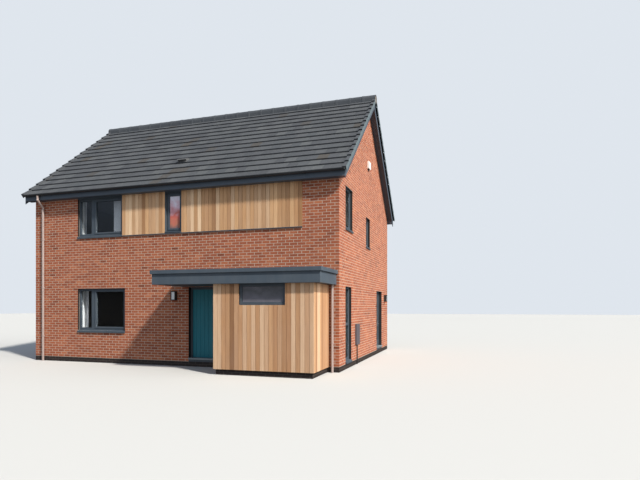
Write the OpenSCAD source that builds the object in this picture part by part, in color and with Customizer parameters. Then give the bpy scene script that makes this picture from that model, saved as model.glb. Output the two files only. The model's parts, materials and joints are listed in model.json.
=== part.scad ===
// Detached two-storey brick house with a pitched tiled roof, timber cladding and a flat entrance canopy.
// Millimetres. The origin is the centre of the main block's footprint on the ground; the front faces -Y.

/* [Main block] */
// Length of the front wall, over the brickwork
house_w = 9890; // [9000:10:12000]
// Depth of the house, over the brickwork
house_d = 7310; // [6800:10:9000]
// Thickness of an outside cavity wall
wall_t = 300; // [250:5:380]
// Height of the dark brick plinth
plinth_h = 140; // [100:5:160]
// Level of the ground floor finish
ground_floor_z = 170; // [165:5:195]
// Level of the first floor finish
first_floor_z = 2740; // [2650:10:2900]
// Depth of the first floor, boards to ceiling
first_floor_t = 250; // [200:10:300]
// Level of the upper storey's ceiling
ceiling_z = 5080; // [5050:10:5100]
// Thickness of the upper storey's ceiling
ceiling_t = 120; // [80:10:150]

/* [Roof] */
// Level of the underside of the eaves soffit
eaves_z = 4965; // [4960:5:5100]
// Pitch of both slopes, degrees
roof_pitch = 40; // [35:1:45]
// Overhang of the fascia in front of the wall
eaves_out = 200; // [150:10:300]
// Overhang of the bargeboard past the gable
verge_out = 200; // [120:10:300]
// Depth of the rafters and boarding, square to the slope
rafter_t = 150; // [120:5:180]
// Overhang of the first tile past the fascia
tile_drip = 50; // [20:5:60]
// Overhang of the tiles past the bargeboard
tile_verge = 20; // [0:5:40]
// Distance from one tile course to the next, up the slope
tile_gauge = 344; // [280:1:350]
// Height of a tile's lower edge above the boarding
tile_tail = 44; // [40:1:60]
// Height of a tile's covered upper edge above the boarding
tile_head = 8; // [6:1:28]
// Outer radius of the ridge tiles
ridge_r = 135; // [90:5:150]
// Height of the ridge tiles' crown above the boarding's apex
ridge_rise = 163; // [120:1:180]
// Height of the verge caps above the tiles that they cover
cap_h = 38; // [25:1:50]
// Width of a verge cap, from side to side
cap_w = 100; // [80:5:140]
// Distance that a verge cap stands out past the tiles' ends
cap_out = 40; // [30:5:60]
// Thickness of a verge cap's shell
cap_wall = 6; // [4:1:8]
// Depth of a verge cap's outer side below the boarding, square to the slope
cap_skirt = 50; // [30:5:80]
// Thickness of the fascia boards and bargeboards
board_t = 22; // [16:1:30]
// Depth of the bargeboards, square to the slope
barge_depth = 215; // [180:5:260]
// Thickness of the soffit boards
soffit_t = 10; // [6:1:18]
// Play left under pieces that lie on a slope
seat_gap = 0.05; // [0.02:0.01:0.1]

/* [Gutters and pipes] */
// Outer radius of the half-round gutters
gutter_r = 56; // [50:1:70]
// Thickness of the gutter wall
gutter_wall = 4; // [3:1:6]
// Distance of the gutter rim below the boarding's upper side, at the fascia
gutter_drop = 8; // [8:1:50]
// Length of the gutter past the bargeboard
gutter_past = 0; // [0:5:30]
// Number of brackets under each gutter
gutter_brackets = 11; // [6:1:16]
// Outer radius of the rainwater pipes
pipe_r = 34; // [30:1:40]
// Outer radius of the pipe sockets and elbows
socket_r = 39; // [36:1:48]
// Distance of a rainwater pipe's axis from the wall
pipe_off = 60; // [50:5:80]
// Distance of the main pipes from the corner of the house
pipe_inset = 350; // [200:10:600]
// Distance of the canopy's pipe from the corner of the house
canopy_pipe_inset = 165; // [120:5:200]
// Distance of the main pipes' upper bend below the soffit
bend_drop = 8; // [0:1:40]
// Distance between pipe clips
clip_pitch = 1500; // [900:50:1800]

/* [Windows] */
// Depth of the reveal in front of the window frames
reveal = 65; // [60:5:120]
// Depth of the reveal in front of the door frames
door_reveal = 100; // [60:5:120]
// Depth of a frame, front to back
frame_d = 70; // [60:2:90]
// Face width of an outer frame
frame_w = 62; // [45:1:75]
// Face width of an opening casement's own frame
sash_w = 34; // [30:1:55]
// Face width of a mullion in a wide window
mullion_w = 140; // [60:5:150]
// Distance that a casement stands in front of its frame
sash_out = 12; // [6:1:20]
// Thickness of the sealed glass units
glass_t = 24; // [18:2:36]
// Height of a sill
sill_h = 75; // [50:5:90]
// Distance that a sill stands out from the wall
sill_out = 35; // [20:5:60]
// Level of the lower storey's sills, at their tops
lower_sill_z = 975; // [900:5:1050]
// Level of the lower storey's window heads
head_z = 2225; // [2150:5:2240]
// Level of the upper storey's sills, at their tops
upper_sill_z = 3820; // [3700:5:3900]
// Level of the upper storey's window heads
upper_head_z = 4945; // [4900:5:4960]
// Distance of the wide windows from the corner of the house
wide_inset = 1640; // [1200:10:1800]
// Width of the lower wide windows
lower_w = 1720; // [1500:10:1900]
// Width of the upper wide windows
upper_w = 1626; // [1400:2:1660]
// Width of the narrow fixed light in a wide window, to the mullion's middle
narrow_w = 524; // [440:4:600]
// Distance of the gable's front windows from the corner of the house
gable_inset = 655; // [500:5:800]
// Width of the gable's tall lower window
tall_w = 655; // [500:5:800]
// Level of the tall window's sill, at its top
tall_sill_z = 215; // [215:5:300]
// Level of the tall window's transom
tall_transom_z = 1200; // [900:10:1500]
// Width of the gable's upper window
gable_upper_w = 795; // [600:5:900]
// Distance of the slot window from the corner of the house
slot_inset = 3280; // [2600:10:3400]
// Width of the slot window
slot_w = 600; // [450:10:700]
// Level of the slot window's sill, at its top
slot_sill_z = 3620; // [3500:10:3700]
// Level of the slot window's head
slot_head_z = 4545; // [4400:5:4700]

/* [Timber cladding] */
// Thickness of the boards with their battens
clad_t = 50; // [35:1:65]
// Distance that the upper cladding stands out from the brickwork
clad_proud = 15; // [5:1:30]
// Level of the upper cladding's lower edge
band_z = 3778; // [3700:2:3900]
// Distance of the upper cladding's end from the corner of the house
band_inset = 989; // [600:1:1400]
// Distance of the cladding's own window from the wide window beside it
band_window_gap = 1470; // [1200:10:1800]
// Width of the window in the cladding
band_window_w = 540; // [400:10:700]
// Height of the drip under the cladding
drip_h = 18; // [12:1:30]
// Distance that the drip stands out from the brickwork
drip_out = 40; // [32:1:50]

/* [Porch and canopy] */
// Distance of the porch from the corner of the house
porch_inset = 258; // [240:2:500]
// Width of the porch over its cladding
porch_w = 2631; // [2000:1:2800]
// Projection of the porch in front of the wall, over its cladding
porch_out = 1270; // [1000:5:1300]
// Thickness of the porch's framed wall behind its cladding
porch_wall_t = 140; // [100:5:180]
// Distance of the porch window from the porch's corner
porch_window_inset = 720; // [400:5:900]
// Width of the porch window
porch_window_w = 1213; // [900:1:1400]
// Level of the porch window's lower edge
porch_window_z = 1723; // [1500:1:1800]
// Width of the passage between the porch and the house
passage_w = 850; // [700:10:1000]
// Height of the passage's head
passage_z = 2140; // [2000:10:2200]
// Distance of the canopy from the corner of the house
canopy_inset = 30; // [10:5:100]
// Length of the canopy past the front door's opening
canopy_past_door = 236; // [180:2:350]
// Projection of the canopy in front of the wall
canopy_out = 1428; // [1400:2:1500]
// Level of the canopy's underside
canopy_z = 2244; // [2240:1:2300]
// Height of the canopy's edge
canopy_h = 368; // [300:1:420]
// Height of the trim along the canopy's upper edge
trim_h = 97; // [60:1:130]
// Distance that the trim stands in front of the fascia
trim_out = 38; // [15:1:60]

/* [Doors] */
// Distance of the front door's opening from the corner of the house
front_door_inset = 3386; // [3300:2:3500]
// Width of a door opening in the brickwork
door_w = 1000; // [950:10:1050]
// Level of a door's head
door_head_z = 2230; // [2150:5:2240]
// Level of a door's threshold
threshold_z = 245; // [215:5:250]
// Thickness of a threshold plate
threshold_t = 45; // [30:1:45]
// Face width of a door frame
door_frame_w = 52; // [45:1:65]
// Distance that a frame's stop reaches in front of the door
stop_w = 16; // [12:1:25]
// Thickness of a frame's stop
stop_t = 20; // [15:1:25]
// Thickness of a door leaf
leaf_t = 45; // [40:1:48]
// Gap between a door and its frame
door_gap = 5; // [5:1:8]
// Extra gap at a door's opening edge, so that it swings clear
swing_gap = 4; // [3:1:8]
// Distance of the side door's opening from the front corner
side_door_inset = 5060; // [4800:10:5400]
// Face width of the side door's stiles and top rail
stile_w = 105; // [80:5:140]
// Height of the side door's bottom rail
bottom_rail_h = 200; // [150:10:300]
// Radius of the hinge barrels
barrel_r = 8; // [7:1:12]
// Length of one of a hinge's three barrels
barrel_l = 32; // [25:1:45]
// Gap between hinge barrels
barrel_gap = 0.3; // [0.3:0.1:0.5]
// Level of a door handle above its threshold
handle_up = 800; // [700:10:1000]

/* [Fittings] */
// Width of the curtains gathered at a window's side
curtain_w = 330; // [200:10:450]
// Depth of a gathered curtain's folds
curtain_d = 100; // [60:5:130]
// Length of a curtain below the window's sill
curtain_below = 150; // [0:10:400]
// Radius of a curtain pole
pole_r = 12; // [10:1:16]
// Distance of a curtain pole's axis from the wall
pole_off = 75; // [70:5:100]
// Level of a curtain pole's axis above the window's head
pole_up = 70; // [60:5:90]
// Width of the roof vent
vent_w = 300; // [200:10:340]
// Length of the roof vent, up the slope
vent_l = 260; // [200:10:300]
// Height of the roof vent's mouth
vent_h = 85; // [60:5:120]
// Distance of the roof vent from the left corner of the house
vent_inset = 4620; // [1000:10:8000]
// Tile course that the roof vent stands on, counted from the eaves
vent_course = 4; // [2:1:12]
// Width of the meter box
meter_w = 410; // [300:10:500]
// Height of the meter box
meter_h = 600; // [400:10:700]
// Distance that the meter box stands out from the wall
meter_d = 55; // [30:5:120]
// Distance of the meter box from the front corner
meter_inset = 1765; // [1500:5:2400]
// Level of the meter box's underside
meter_z = 575; // [400:5:900]
// Radius of the meter pipe
meter_pipe_r = 16; // [11:1:20]
// Width of a wall light
light_w = 150; // [100:5:200]
// Height of a wall light
light_h = 260; // [200:10:300]
// Distance that a wall light stands out from the wall
light_d = 110; // [80:5:150]
// Level of a wall light's underside
light_z = 1860; // [1700:5:1900]
// Distance of the front wall light from the front door's opening
front_light_gap = 369; // [250:1:400]
// Distance of the side wall light from the front corner
side_light_inset = 6530; // [6300:5:6700]
// Width of the alarm box
alarm_w = 280; // [200:10:340]
// Height of the alarm box
alarm_h = 230; // [160:10:300]
// Distance that the alarm box stands out from the wall
alarm_d = 60; // [50:5:120]
// Distance of the alarm box from the front corner
alarm_inset = 3505; // [3300:5:3700]
// Level of the alarm box's underside
alarm_z = 6150; // [5800:10:6400]

/* [Hidden] */
$fn = 48;

BRICK = [0.69, 0.41, 0.31];
ENGINEERING = [0.20, 0.19, 0.20];
TIMBER = [0.78, 0.58, 0.40];
ANTHRACITE = [0.20, 0.24, 0.28];
SLATE_BLUE = [0.31, 0.35, 0.39];
TILE = [0.38, 0.38, 0.39];
TEAL = [0.08, 0.28, 0.33];
PIPE_WHITE = [0.88, 0.84, 0.83];
GLASS = [0.25, 0.30, 0.34];
CLOTH = [0.62, 0.64, 0.68];
PLASTER = [0.86, 0.85, 0.82];
STEEL = [0.72, 0.73, 0.74];
CUT = 1;

half_w = house_w / 2;
half_d = house_d / 2;
rise = tan(roof_pitch);
deck_h = rafter_t / cos(roof_pitch);
fascia_back = eaves_out - board_t;
slope_l = (half_d + eaves_out + tile_drip) / cos(roof_pitch);
courses = ceil(slope_l / tile_gauge);

// Level of the roof boarding's underside, at a distance inside the outer face of a long wall
function under_z(d) = eaves_z + soffit_t + (fascia_back + d) * rise;
// Level of the roof boarding's upper side, at the same distance
function over_z(d) = under_z(d) + deck_h;

// Level of the gutters' rims
gutter_z = over_z(-eaves_out) - gutter_drop;

// Level of the top of what the roof boarding lies on, at the same distance
function top_z(d) = under_z(d) - seat_gap;

front_door_x = house_w - front_door_inset - door_w;
band_x = wide_inset + upper_w;
band_w = house_w - band_x - band_inset;
band_window_x = band_x + band_window_gap;
porch_x = house_w - porch_inset - porch_w;
porch_window_x = porch_x + porch_w - porch_window_inset - porch_window_w;
canopy_x = front_door_x - canopy_past_door;
canopy_w = house_w - canopy_inset - canopy_x;
passage_x = porch_x + (porch_w - passage_w) / 2;
leaf_z = threshold_z + door_gap;
leaf_h = door_head_z - door_frame_w - door_gap - leaf_z;
leaf_x = door_frame_w + door_gap;
leaf_w = door_w - 2 * door_frame_w - 2 * door_gap - swing_gap;
leaf_y = door_reveal + frame_d - leaf_t;

// A window is [x, z, width, height, mullion, transom, sill]: the last three are distances
// in from its left and lower edges and the height of its sill, with 0 for none. A mullion
// of -1 stands for none in a window that opens.
lower_wide = [wide_inset, lower_sill_z, lower_w, head_z - lower_sill_z, narrow_w, 0, sill_h];
upper_wide = [wide_inset, upper_sill_z, upper_w, upper_head_z - upper_sill_z, narrow_w, 0, sill_h];
band_window = [band_window_x, upper_sill_z, band_window_w, upper_head_z - upper_sill_z, -1, 0, sill_h / 3];
lower_tall = [gable_inset, tall_sill_z, tall_w, head_z - tall_sill_z, 0, tall_transom_z - tall_sill_z, sill_h];
upper_side = [gable_inset, upper_sill_z, gable_upper_w, upper_head_z - upper_sill_z, 0, 0, sill_h];
upper_slot = [slot_inset, slot_sill_z, slot_w, slot_head_z - slot_sill_z, 0, 0, sill_h];
porch_window = [porch_window_x, porch_window_z, porch_window_w, canopy_z - porch_window_z, 0, 0, 0];

front_windows = [lower_wide, upper_wide, band_window];
right_windows = [lower_tall, upper_side, upper_slot];
left_windows = [for (w = right_windows) beside(w, house_d)];
rear_windows = [lower_wide, upper_wide, beside(lower_wide, house_w), beside(upper_wide, house_w)];

// The same window at the other end of a wall of the given length, with its mullion mirrored
function beside(w, length) =
    [length - w[0] - w[2], w[1], w[2], w[3], w[4] <= 0 ? w[4] : w[2] - w[4], w[5], w[6]];

// Each of these draws its children seen from outside one wall: x runs to the right along
// the wall from its corner, y runs into the building from the outer face, z is up.
module on_front() translate([-half_w, -half_d, 0]) children();
module on_right() translate([half_w, -half_d, 0]) rotate([0, 0, 90]) children();
module on_rear() translate([half_w, half_d, 0]) rotate([0, 0, 180]) children();
module on_left() translate([-half_w, half_d, 0]) rotate([0, 0, -90]) children();

// A profile drawn in y and z, run along x from x0 to x1
module run_x(x0, x1) translate([x0, 0, 0]) rotate([90, 0, 90]) linear_extrude(x1 - x0) children();

// A profile drawn in x and z, run along y from y0 to y1
module run_y(y0, y1) translate([0, y1, 0]) rotate([90, 0, 0]) linear_extrude(y1 - y0) children();

// The hole that a window and its sill need in a wall
module window_hole(w)
    translate([w[0], -clad_t, w[1] - w[6]]) cube([w[2], clad_t + wall_t + CUT, w[3] + w[6]]);

// Section of a long wall, with its top cut to the roof's slope
module long_wall_profile(z0)
    polygon([[0, z0], [wall_t, z0], [wall_t, top_z(wall_t)], [0, top_z(0)]]);

module long_wall(x0, x1, z0) run_x(x0, x1) long_wall_profile(z0);

// Part of a gable between two distances along it, from level z0 up to the slopes
module gable_part(x0, x1, z0)
    run_y(0, wall_t)
        intersection() {
            polygon([
                [wall_t, z0], [house_d - wall_t, z0], [house_d - wall_t, top_z(wall_t)],
                [half_d, top_z(half_d)], [wall_t, top_z(wall_t)]
            ]);
            translate([x0, z0]) square([x1 - x0, under_z(half_d)]);
        }

// The base courses of the front and rear walls
module plinth() color(ENGINEERING) {
    on_front() cube([house_w, wall_t, plinth_h]);
    on_rear() cube([house_w, wall_t, plinth_h]);
}

// The base courses of the gables, between those of the long walls
module plinth_sides() color(ENGINEERING) {
    on_left() translate([wall_t, 0, 0]) cube([house_d - 2 * wall_t, wall_t, plinth_h]);
    on_right() translate([wall_t, 0, 0]) cube([house_d - 2 * wall_t, wall_t, plinth_h]);
}

module porch_plinth() color(ENGINEERING) on_front()
    translate([porch_x + clad_t, -porch_out + clad_t, 0])
        linear_extrude(plinth_h)
            difference() {
                square([porch_w - 2 * clad_t, porch_out - clad_t]);
                translate([porch_wall_t, porch_wall_t])
                    square([porch_w - 2 * clad_t - 2 * porch_wall_t, porch_out]);
            }

module ground_floor() color(PLASTER) {
    inner_w = house_w - 2 * wall_t;
    room_w = porch_w - 2 * clad_t - 2 * porch_wall_t;
    room_d = porch_out - clad_t - porch_wall_t;
    on_front() {
        translate([wall_t, wall_t, 0]) cube([inner_w, house_d - 2 * wall_t, ground_floor_z]);
        translate([porch_x + clad_t + porch_wall_t, -room_d, 0]) cube([room_w, room_d, ground_floor_z]);
        translate([passage_x, -CUT, plinth_h]) cube([passage_w, wall_t + 2 * CUT, ground_floor_z - plinth_h]);
        translate([front_door_x, 0, plinth_h]) doorstep();
    }
    on_right() translate([side_door_inset, 0, plinth_h]) doorstep();
}

// Raised step under a door's threshold, run back into the floor
module doorstep() {
    cube([door_w, wall_t, threshold_z - threshold_t - plinth_h]);
    cube([door_w, wall_t + CUT, ground_floor_z - plinth_h]);
}

module first_floor() color(PLASTER)
    translate([-half_w + wall_t, -half_d + wall_t, first_floor_z - first_floor_t])
        cube([house_w - 2 * wall_t, house_d - 2 * wall_t, first_floor_t]);

module loft_ceiling() color(PLASTER)
    translate([-half_w + wall_t, -half_d + wall_t, ceiling_z])
        cube([house_w - 2 * wall_t, house_d - 2 * wall_t, ceiling_t]);

// Shallow bed in the brickwork that takes the upper cladding and its window
module band_bed()
    translate([band_x, -CUT, band_z]) cube([band_w, clad_t - clad_proud + CUT, under_z(0)]);

// The cladding's stretch of wall up to the door is a node of its own, so this one has one thickness
module front_wall_left() color(BRICK) on_front()
    difference() {
        long_wall(0, front_door_x, plinth_h);
        for (w = [lower_wide, upper_wide]) window_hole(w);
        translate([band_x, -CUT, band_z]) cube([front_door_x, wall_t + 2 * CUT, under_z(0)]);
    }

module front_wall_behind_boards() color(BRICK) on_front()
    difference() {
        long_wall(band_x, front_door_x, band_z);
        window_hole(band_window);
        band_bed();
    }

module front_wall_over_door() color(BRICK) on_front()
    difference() {
        long_wall(front_door_x, front_door_x + door_w, door_head_z);
        window_hole(band_window);
        band_bed();
    }

module front_wall_right() color(BRICK) on_front()
    difference() {
        long_wall(front_door_x + door_w, house_w, plinth_h);
        translate([passage_x, -CUT, plinth_h - CUT])
            cube([passage_w, wall_t + 2 * CUT, passage_z - plinth_h + CUT]);
        band_bed();
    }

module rear_wall() color(BRICK) on_rear()
    difference() {
        long_wall(0, house_w, plinth_h);
        for (w = rear_windows) window_hole(w);
    }

module left_gable_wall() color(BRICK) on_left()
    difference() {
        gable_part(wall_t, house_d - wall_t, plinth_h);
        for (w = left_windows) window_hole(w);
    }

module right_gable_front() color(BRICK) on_right()
    difference() {
        gable_part(wall_t, side_door_inset, plinth_h);
        for (w = right_windows) window_hole(w);
    }

module right_gable_over_door() color(BRICK) on_right()
    gable_part(side_door_inset, side_door_inset + door_w, door_head_z);

module right_gable_rear() color(BRICK) on_right()
    gable_part(side_door_inset + door_w, house_d - wall_t, plinth_h);

module porch_front_wall() color(PLASTER) on_front()
    difference() {
        translate([porch_x + clad_t + porch_wall_t, -porch_out + clad_t, plinth_h])
            cube([porch_w - 2 * clad_t - 2 * porch_wall_t, porch_wall_t, canopy_z - plinth_h]);
        translate([porch_window_x, -porch_out, porch_window_z])
            cube([porch_window_w, clad_t + porch_wall_t + CUT, canopy_z]);
    }

module porch_side_walls() color(PLASTER) on_front()
    for (x = [porch_x + clad_t, porch_x + porch_w - clad_t - porch_wall_t])
        translate([x, -porch_out + clad_t, plinth_h])
            cube([porch_wall_t, porch_out - clad_t, canopy_z - plinth_h]);

module porch_cladding() color(TIMBER) on_front()
    difference() {
        translate([porch_x, -porch_out, plinth_h]) cube([porch_w, porch_out, canopy_z - plinth_h]);
        translate([porch_x + clad_t, -porch_out + clad_t, plinth_h - CUT])
            cube([porch_w - 2 * clad_t, porch_out, canopy_z - plinth_h + 2 * CUT]);
        translate([porch_window_x, -porch_out - CUT, porch_window_z])
            cube([porch_window_w, clad_t + 2 * CUT, canopy_z]);
    }

module upper_cladding() color(TIMBER) on_front()
    difference() {
        translate([band_x, -clad_proud, band_z]) cube([band_w, clad_t, eaves_z - band_z]);
        window_hole(band_window);
    }

module cladding_drip() color(ANTHRACITE) on_front()
    translate([band_x, -drip_out, band_z - drip_h]) cube([band_w, drip_out, drip_h]);

module canopy_roof() color(SLATE_BLUE) on_front()
    translate([canopy_x + trim_out + board_t, -canopy_out + trim_out + board_t, canopy_z])
        cube([
            canopy_w - 2 * trim_out - 2 * board_t, canopy_out - trim_out - board_t,
            canopy_h - trim_h / 2
        ]);

// Edging round the canopy's three free sides, at a distance inside its overall outline
module canopy_edge(inset, thick)
    difference() {
        translate([inset, inset]) square([canopy_w - 2 * inset, canopy_out - inset]);
        translate([inset + thick, inset + thick])
            square([canopy_w - 2 * inset - 2 * thick, canopy_out]);
    }

module canopy_fascia() color(SLATE_BLUE) on_front()
    translate([canopy_x, -canopy_out, canopy_z]) {
        linear_extrude(canopy_h - trim_h) canopy_edge(trim_out, board_t);
        translate([0, 0, canopy_h - trim_h]) linear_extrude(trim_h) canopy_edge(0, trim_out + board_t);
    }

// Section of one slope's rafters and boarding, with plumb ends
module deck_profile()
    polygon([
        [-half_d - fascia_back, under_z(-fascia_back)], [0, under_z(half_d)],
        [0, over_z(half_d)], [-half_d - fascia_back, over_z(-fascia_back)]
    ]);

module roof_deck() run_x(-half_w - verge_out + board_t, half_w + verge_out - board_t) deck_profile();

module front_roof() color(TIMBER) roof_deck();
module rear_roof() color(TIMBER) mirror([0, 1, 0]) roof_deck();

// A point on the front slope: s up the slope from the first tile's edge, t square to the boarding
function slope_point(s, t) = [
    -half_d - eaves_out - tile_drip + s * cos(roof_pitch) - t * sin(roof_pitch),
    over_z(-eaves_out - tile_drip) + seat_gap + s * sin(roof_pitch) + t * cos(roof_pitch)
];

// Section from a depth under the boarding's upper side to a height over the lapped courses,
// from a distance past the first tile's edge: each course rises from the head under it to its tail
module over_courses(past, under, lift)
    intersection() {
        polygon(concat(
            [slope_point(-past, -under), slope_point(-past, tile_tail + lift)],
            [for (i = [0:courses - 1], p = [[i * tile_gauge, tile_tail], [(i + 1) * tile_gauge, tile_head]])
                slope_point(p[0], p[1] + lift)],
            [slope_point((courses + 1) * tile_gauge, tile_head + lift),
             slope_point((courses + 1) * tile_gauge, -under)]
        ));
        translate([-house_d, 0]) square([house_d, over_z(house_d)]);
    }

module course_profile() over_courses(0, 0, 0);

module tile_slope()
    run_x(-half_w - verge_out - tile_verge, half_w + verge_out + tile_verge) course_profile();

module front_tiles() color(TILE) tile_slope();
module rear_tiles() color(TILE) mirror([0, 1, 0]) tile_slope();

// Half-round ridge tile on its bed, over the two highest courses
module ridge_profile() {
    crown = over_z(half_d) + ridge_rise;
    difference() {
        translate([0, crown - ridge_r]) {
            circle(ridge_r);
            translate([-ridge_r, -house_d]) square([2 * ridge_r, house_d]);
        }
        for (side = [0, 1]) mirror([side, 0]) {
            course_profile();
            polygon([
                slope_point(0, tile_head / 2), [slope_point(0, 0)[0], 0], [CUT, 0],
                [CUT, over_z(half_d)], [0, over_z(half_d) + tile_head / 2]
            ]);
        }
    }
}

module ridge_tiles() color(TILE)
    run_x(-half_w - verge_out - tile_verge - cap_out, half_w + verge_out + tile_verge + cap_out)
        ridge_profile();

// Leaves out what a verge cap would share with the ridge tiles
module below_ridge()
    intersection() {
        children();
        translate([-house_d, 0]) square([house_d - ridge_r - seat_gap, over_z(house_d)]);
    }

// Shell of one verge cap: an inner side on the tiles, a stepped top and an outer side past the boarding
module verge_cap(outer) {
    past = cap_wall + seat_gap;
    run_x(outer - cap_w, outer - cap_w + cap_wall)
        below_ridge() difference() {
            over_courses(past, 0, cap_h);
            over_courses(seat_gap, cap_h, seat_gap);
        }
    run_x(outer - cap_w, outer)
        below_ridge() difference() {
            over_courses(past, 0, cap_h);
            over_courses(seat_gap, cap_h, cap_h - cap_wall);
        }
    run_x(outer - cap_wall, outer) below_ridge() over_courses(past, cap_skirt, cap_h);
}

module verge_caps() color(ANTHRACITE)
    for (end = [0, 1], slope = [0, 1])
        mirror([end, 0, 0]) mirror([0, slope, 0]) verge_cap(half_w + verge_out + tile_verge + cap_out);

module fascias() color(ANTHRACITE)
    for (side = [0, 1]) mirror([0, side, 0])
        translate([-half_w - verge_out + board_t, -half_d - eaves_out, eaves_z])
            cube([house_w + 2 * verge_out - 2 * board_t, board_t, over_z(-eaves_out) - eaves_z]);

// The foot nearest the canopy is cut level with the soffit, and the others are left whole
module bargeboards() color(ANTHRACITE) {
    drop = barge_depth / cos(roof_pitch);
    foot = half_d + eaves_out;
    for (side = [0, 1]) mirror([side, 0, 0])
        run_x(half_w + verge_out - board_t, half_w + verge_out)
            difference() {
                polygon([
                    [-foot, over_z(-eaves_out)], [0, over_z(half_d)], [foot, over_z(-eaves_out)],
                    [foot, over_z(-eaves_out) - drop], [0, over_z(half_d) - drop],
                    [-foot, over_z(-eaves_out) - drop]
                ]);
                if (side == 0) translate([-foot - CUT, eaves_z - drop]) square([foot, drop]);
            }
}

module eaves_soffits() color(ANTHRACITE)
    for (side = [0, 1]) mirror([0, side, 0])
        translate([-half_w - verge_out + board_t, -half_d - fascia_back, eaves_z])
            cube([house_w + 2 * verge_out - 2 * board_t, fascia_back, soffit_t]);

module verge_soffits() color(ANTHRACITE)
    for (side = [0, 1]) mirror([side, 0, 0])
        run_x(half_w, half_w + verge_out - board_t) {
            drop = soffit_t / cos(roof_pitch);
            polygon([
                [-half_d, top_z(0)], [0, top_z(half_d)], [half_d, top_z(0)],
                [half_d, eaves_z], [half_d - soffit_t, eaves_z],
                [half_d - soffit_t, under_z(soffit_t) - drop], [0, under_z(half_d) - drop],
                [-half_d + soffit_t, under_z(soffit_t) - drop], [-half_d + soffit_t, eaves_z],
                [-half_d, eaves_z]
            ]);
        }

// Half of a ring in y and z, open side up, with its centre on the origin
module trough(outer, wall)
    difference() {
        circle(outer);
        circle(outer - wall);
        translate([-2 * outer, 0]) square(4 * outer);
    }

// Room over a gutter's end for the tiles and the verge cap, as a section
module gutter_notch() {
    past = eaves_out + tile_drip + cap_h + cap_wall;
    polygon([
        [-half_d - past, over_z(-past) - cap_wall], [-half_d - eaves_out + CUT, gutter_z - cap_wall],
        [-half_d - eaves_out + CUT, gutter_z + CUT], [-half_d - past, gutter_z + CUT]
    ]);
}

// Half-round gutter on its brackets; the first and last brackets stand at the bargeboards
module gutter() {
    gutter_y = -half_d - eaves_out - gutter_r;
    span = house_w + 2 * verge_out;
    end = half_w + verge_out + gutter_past;
    bracket_w = 30;
    run_x(-end, end) translate([gutter_y, gutter_z]) trough(gutter_r, gutter_wall);
    for (x = [-end, end - gutter_wall])
        run_x(x, x + gutter_wall)
            difference() {
                translate([gutter_y, gutter_z]) trough(gutter_r, gutter_r);
                gutter_notch();
            }
    for (i = [0:gutter_brackets - 1])
        run_x(-span / 2 + i * (span - bracket_w) / (gutter_brackets - 1),
              -span / 2 + i * (span - bracket_w) / (gutter_brackets - 1) + bracket_w)
            translate([gutter_y, gutter_z]) {
                trough(gutter_r, gutter_wall);
                translate([gutter_r - gutter_wall, -gutter_r]) square([gutter_wall, gutter_r]);
            }
}

module gutters() color(ANTHRACITE)
    for (side = [0, 1]) mirror([0, side, 0]) gutter();

// Upright stretch of rainwater pipe at a distance out from a wall, with clips back to it
module upright(top) {
    translate([0, -pipe_off, 0]) cylinder(r = pipe_r, h = top);
    for (z = [clip_pitch / 2:clip_pitch:top - clip_pitch / 4])
        translate([0, 0, z]) {
            translate([0, -pipe_off, 0]) cylinder(r = socket_r, h = pipe_r);
            translate([-pipe_r / 2, -pipe_off, 0]) cube([pipe_r, pipe_off, pipe_r]);
        }
}

// Main pipe: an outlet under the gutter, an offset back under the soffit, and the upright
module gutter_pipe() {
    outlet_z = gutter_z - gutter_r;
    top = [0, -eaves_out - gutter_r, eaves_z - bend_drop];
    reach = eaves_out + gutter_r - pipe_off;
    bend = [0, -pipe_off, top[2] - reach];
    upright(bend[2]);
    translate(top) cylinder(r = pipe_r, h = outlet_z - top[2]);
    translate([0, top[1], outlet_z - socket_r]) cylinder(r = socket_r, h = socket_r);
    translate(top) sphere(socket_r);
    translate(bend) sphere(socket_r);
    translate(bend) rotate([45, 0, 0]) cylinder(r = pipe_r, h = reach * sqrt(2));
}

module downpipes() color(PIPE_WHITE) {
    on_front() {
        translate([pipe_inset, 0, 0]) gutter_pipe();
        translate([house_w - canopy_pipe_inset, 0, 0]) upright(canopy_z);
    }
    on_rear() translate([pipe_inset, 0, 0]) gutter_pipe();
}

// Hooded vent whose base lies on one course's upper face
module roof_vent() color(TILE) {
    lean = roof_pitch - atan((tile_tail - tile_head) / tile_gauge);
    seat = slope_point(vent_course * tile_gauge, tile_tail);
    back = 25;
    translate([vent_inset - half_w, seat[0], seat[1] + seat_gap]) rotate([lean, 0, 0])
        run_x(0, vent_w)
            polygon([
                [0, 0], [vent_l, 0], [vent_l, back], [vent_l * 0.3, vent_h], [0, vent_h],
                [0, vent_h - back / 2], [vent_l * 0.2, vent_h - back / 2], [vent_l * 0.2, back / 2],
                [0, back / 2]
            ]);
}

// Lights of a window, each [left, right, bottom, top] inside its outer frame
function lights(w) =
    let (
        xs = w[4] <= 0 ? [[frame_w, w[2] - frame_w]]
            : [[frame_w, w[4] - mullion_w / 2], [w[4] + mullion_w / 2, w[2] - frame_w]],
        zs = w[5] == 0 ? [[frame_w, w[3] - frame_w]]
            : [[frame_w, w[5] - frame_w / 2], [w[5] + frame_w / 2, w[3] - frame_w]]
    )
    [for (x = xs, z = zs) [x[0], x[1], z[0], z[1]]];

// The wide light of a window with a mullion is a casement that opens
function opens(w, i) = w[4] < 0 || (w[4] > 0 && i == (w[4] < w[2] / 2 ? 1 : 0));

module light_hole(l, edge)
    translate([l[0] + edge, l[2] + edge]) square([l[1] - l[0] - 2 * edge, l[3] - l[2] - 2 * edge]);

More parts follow.
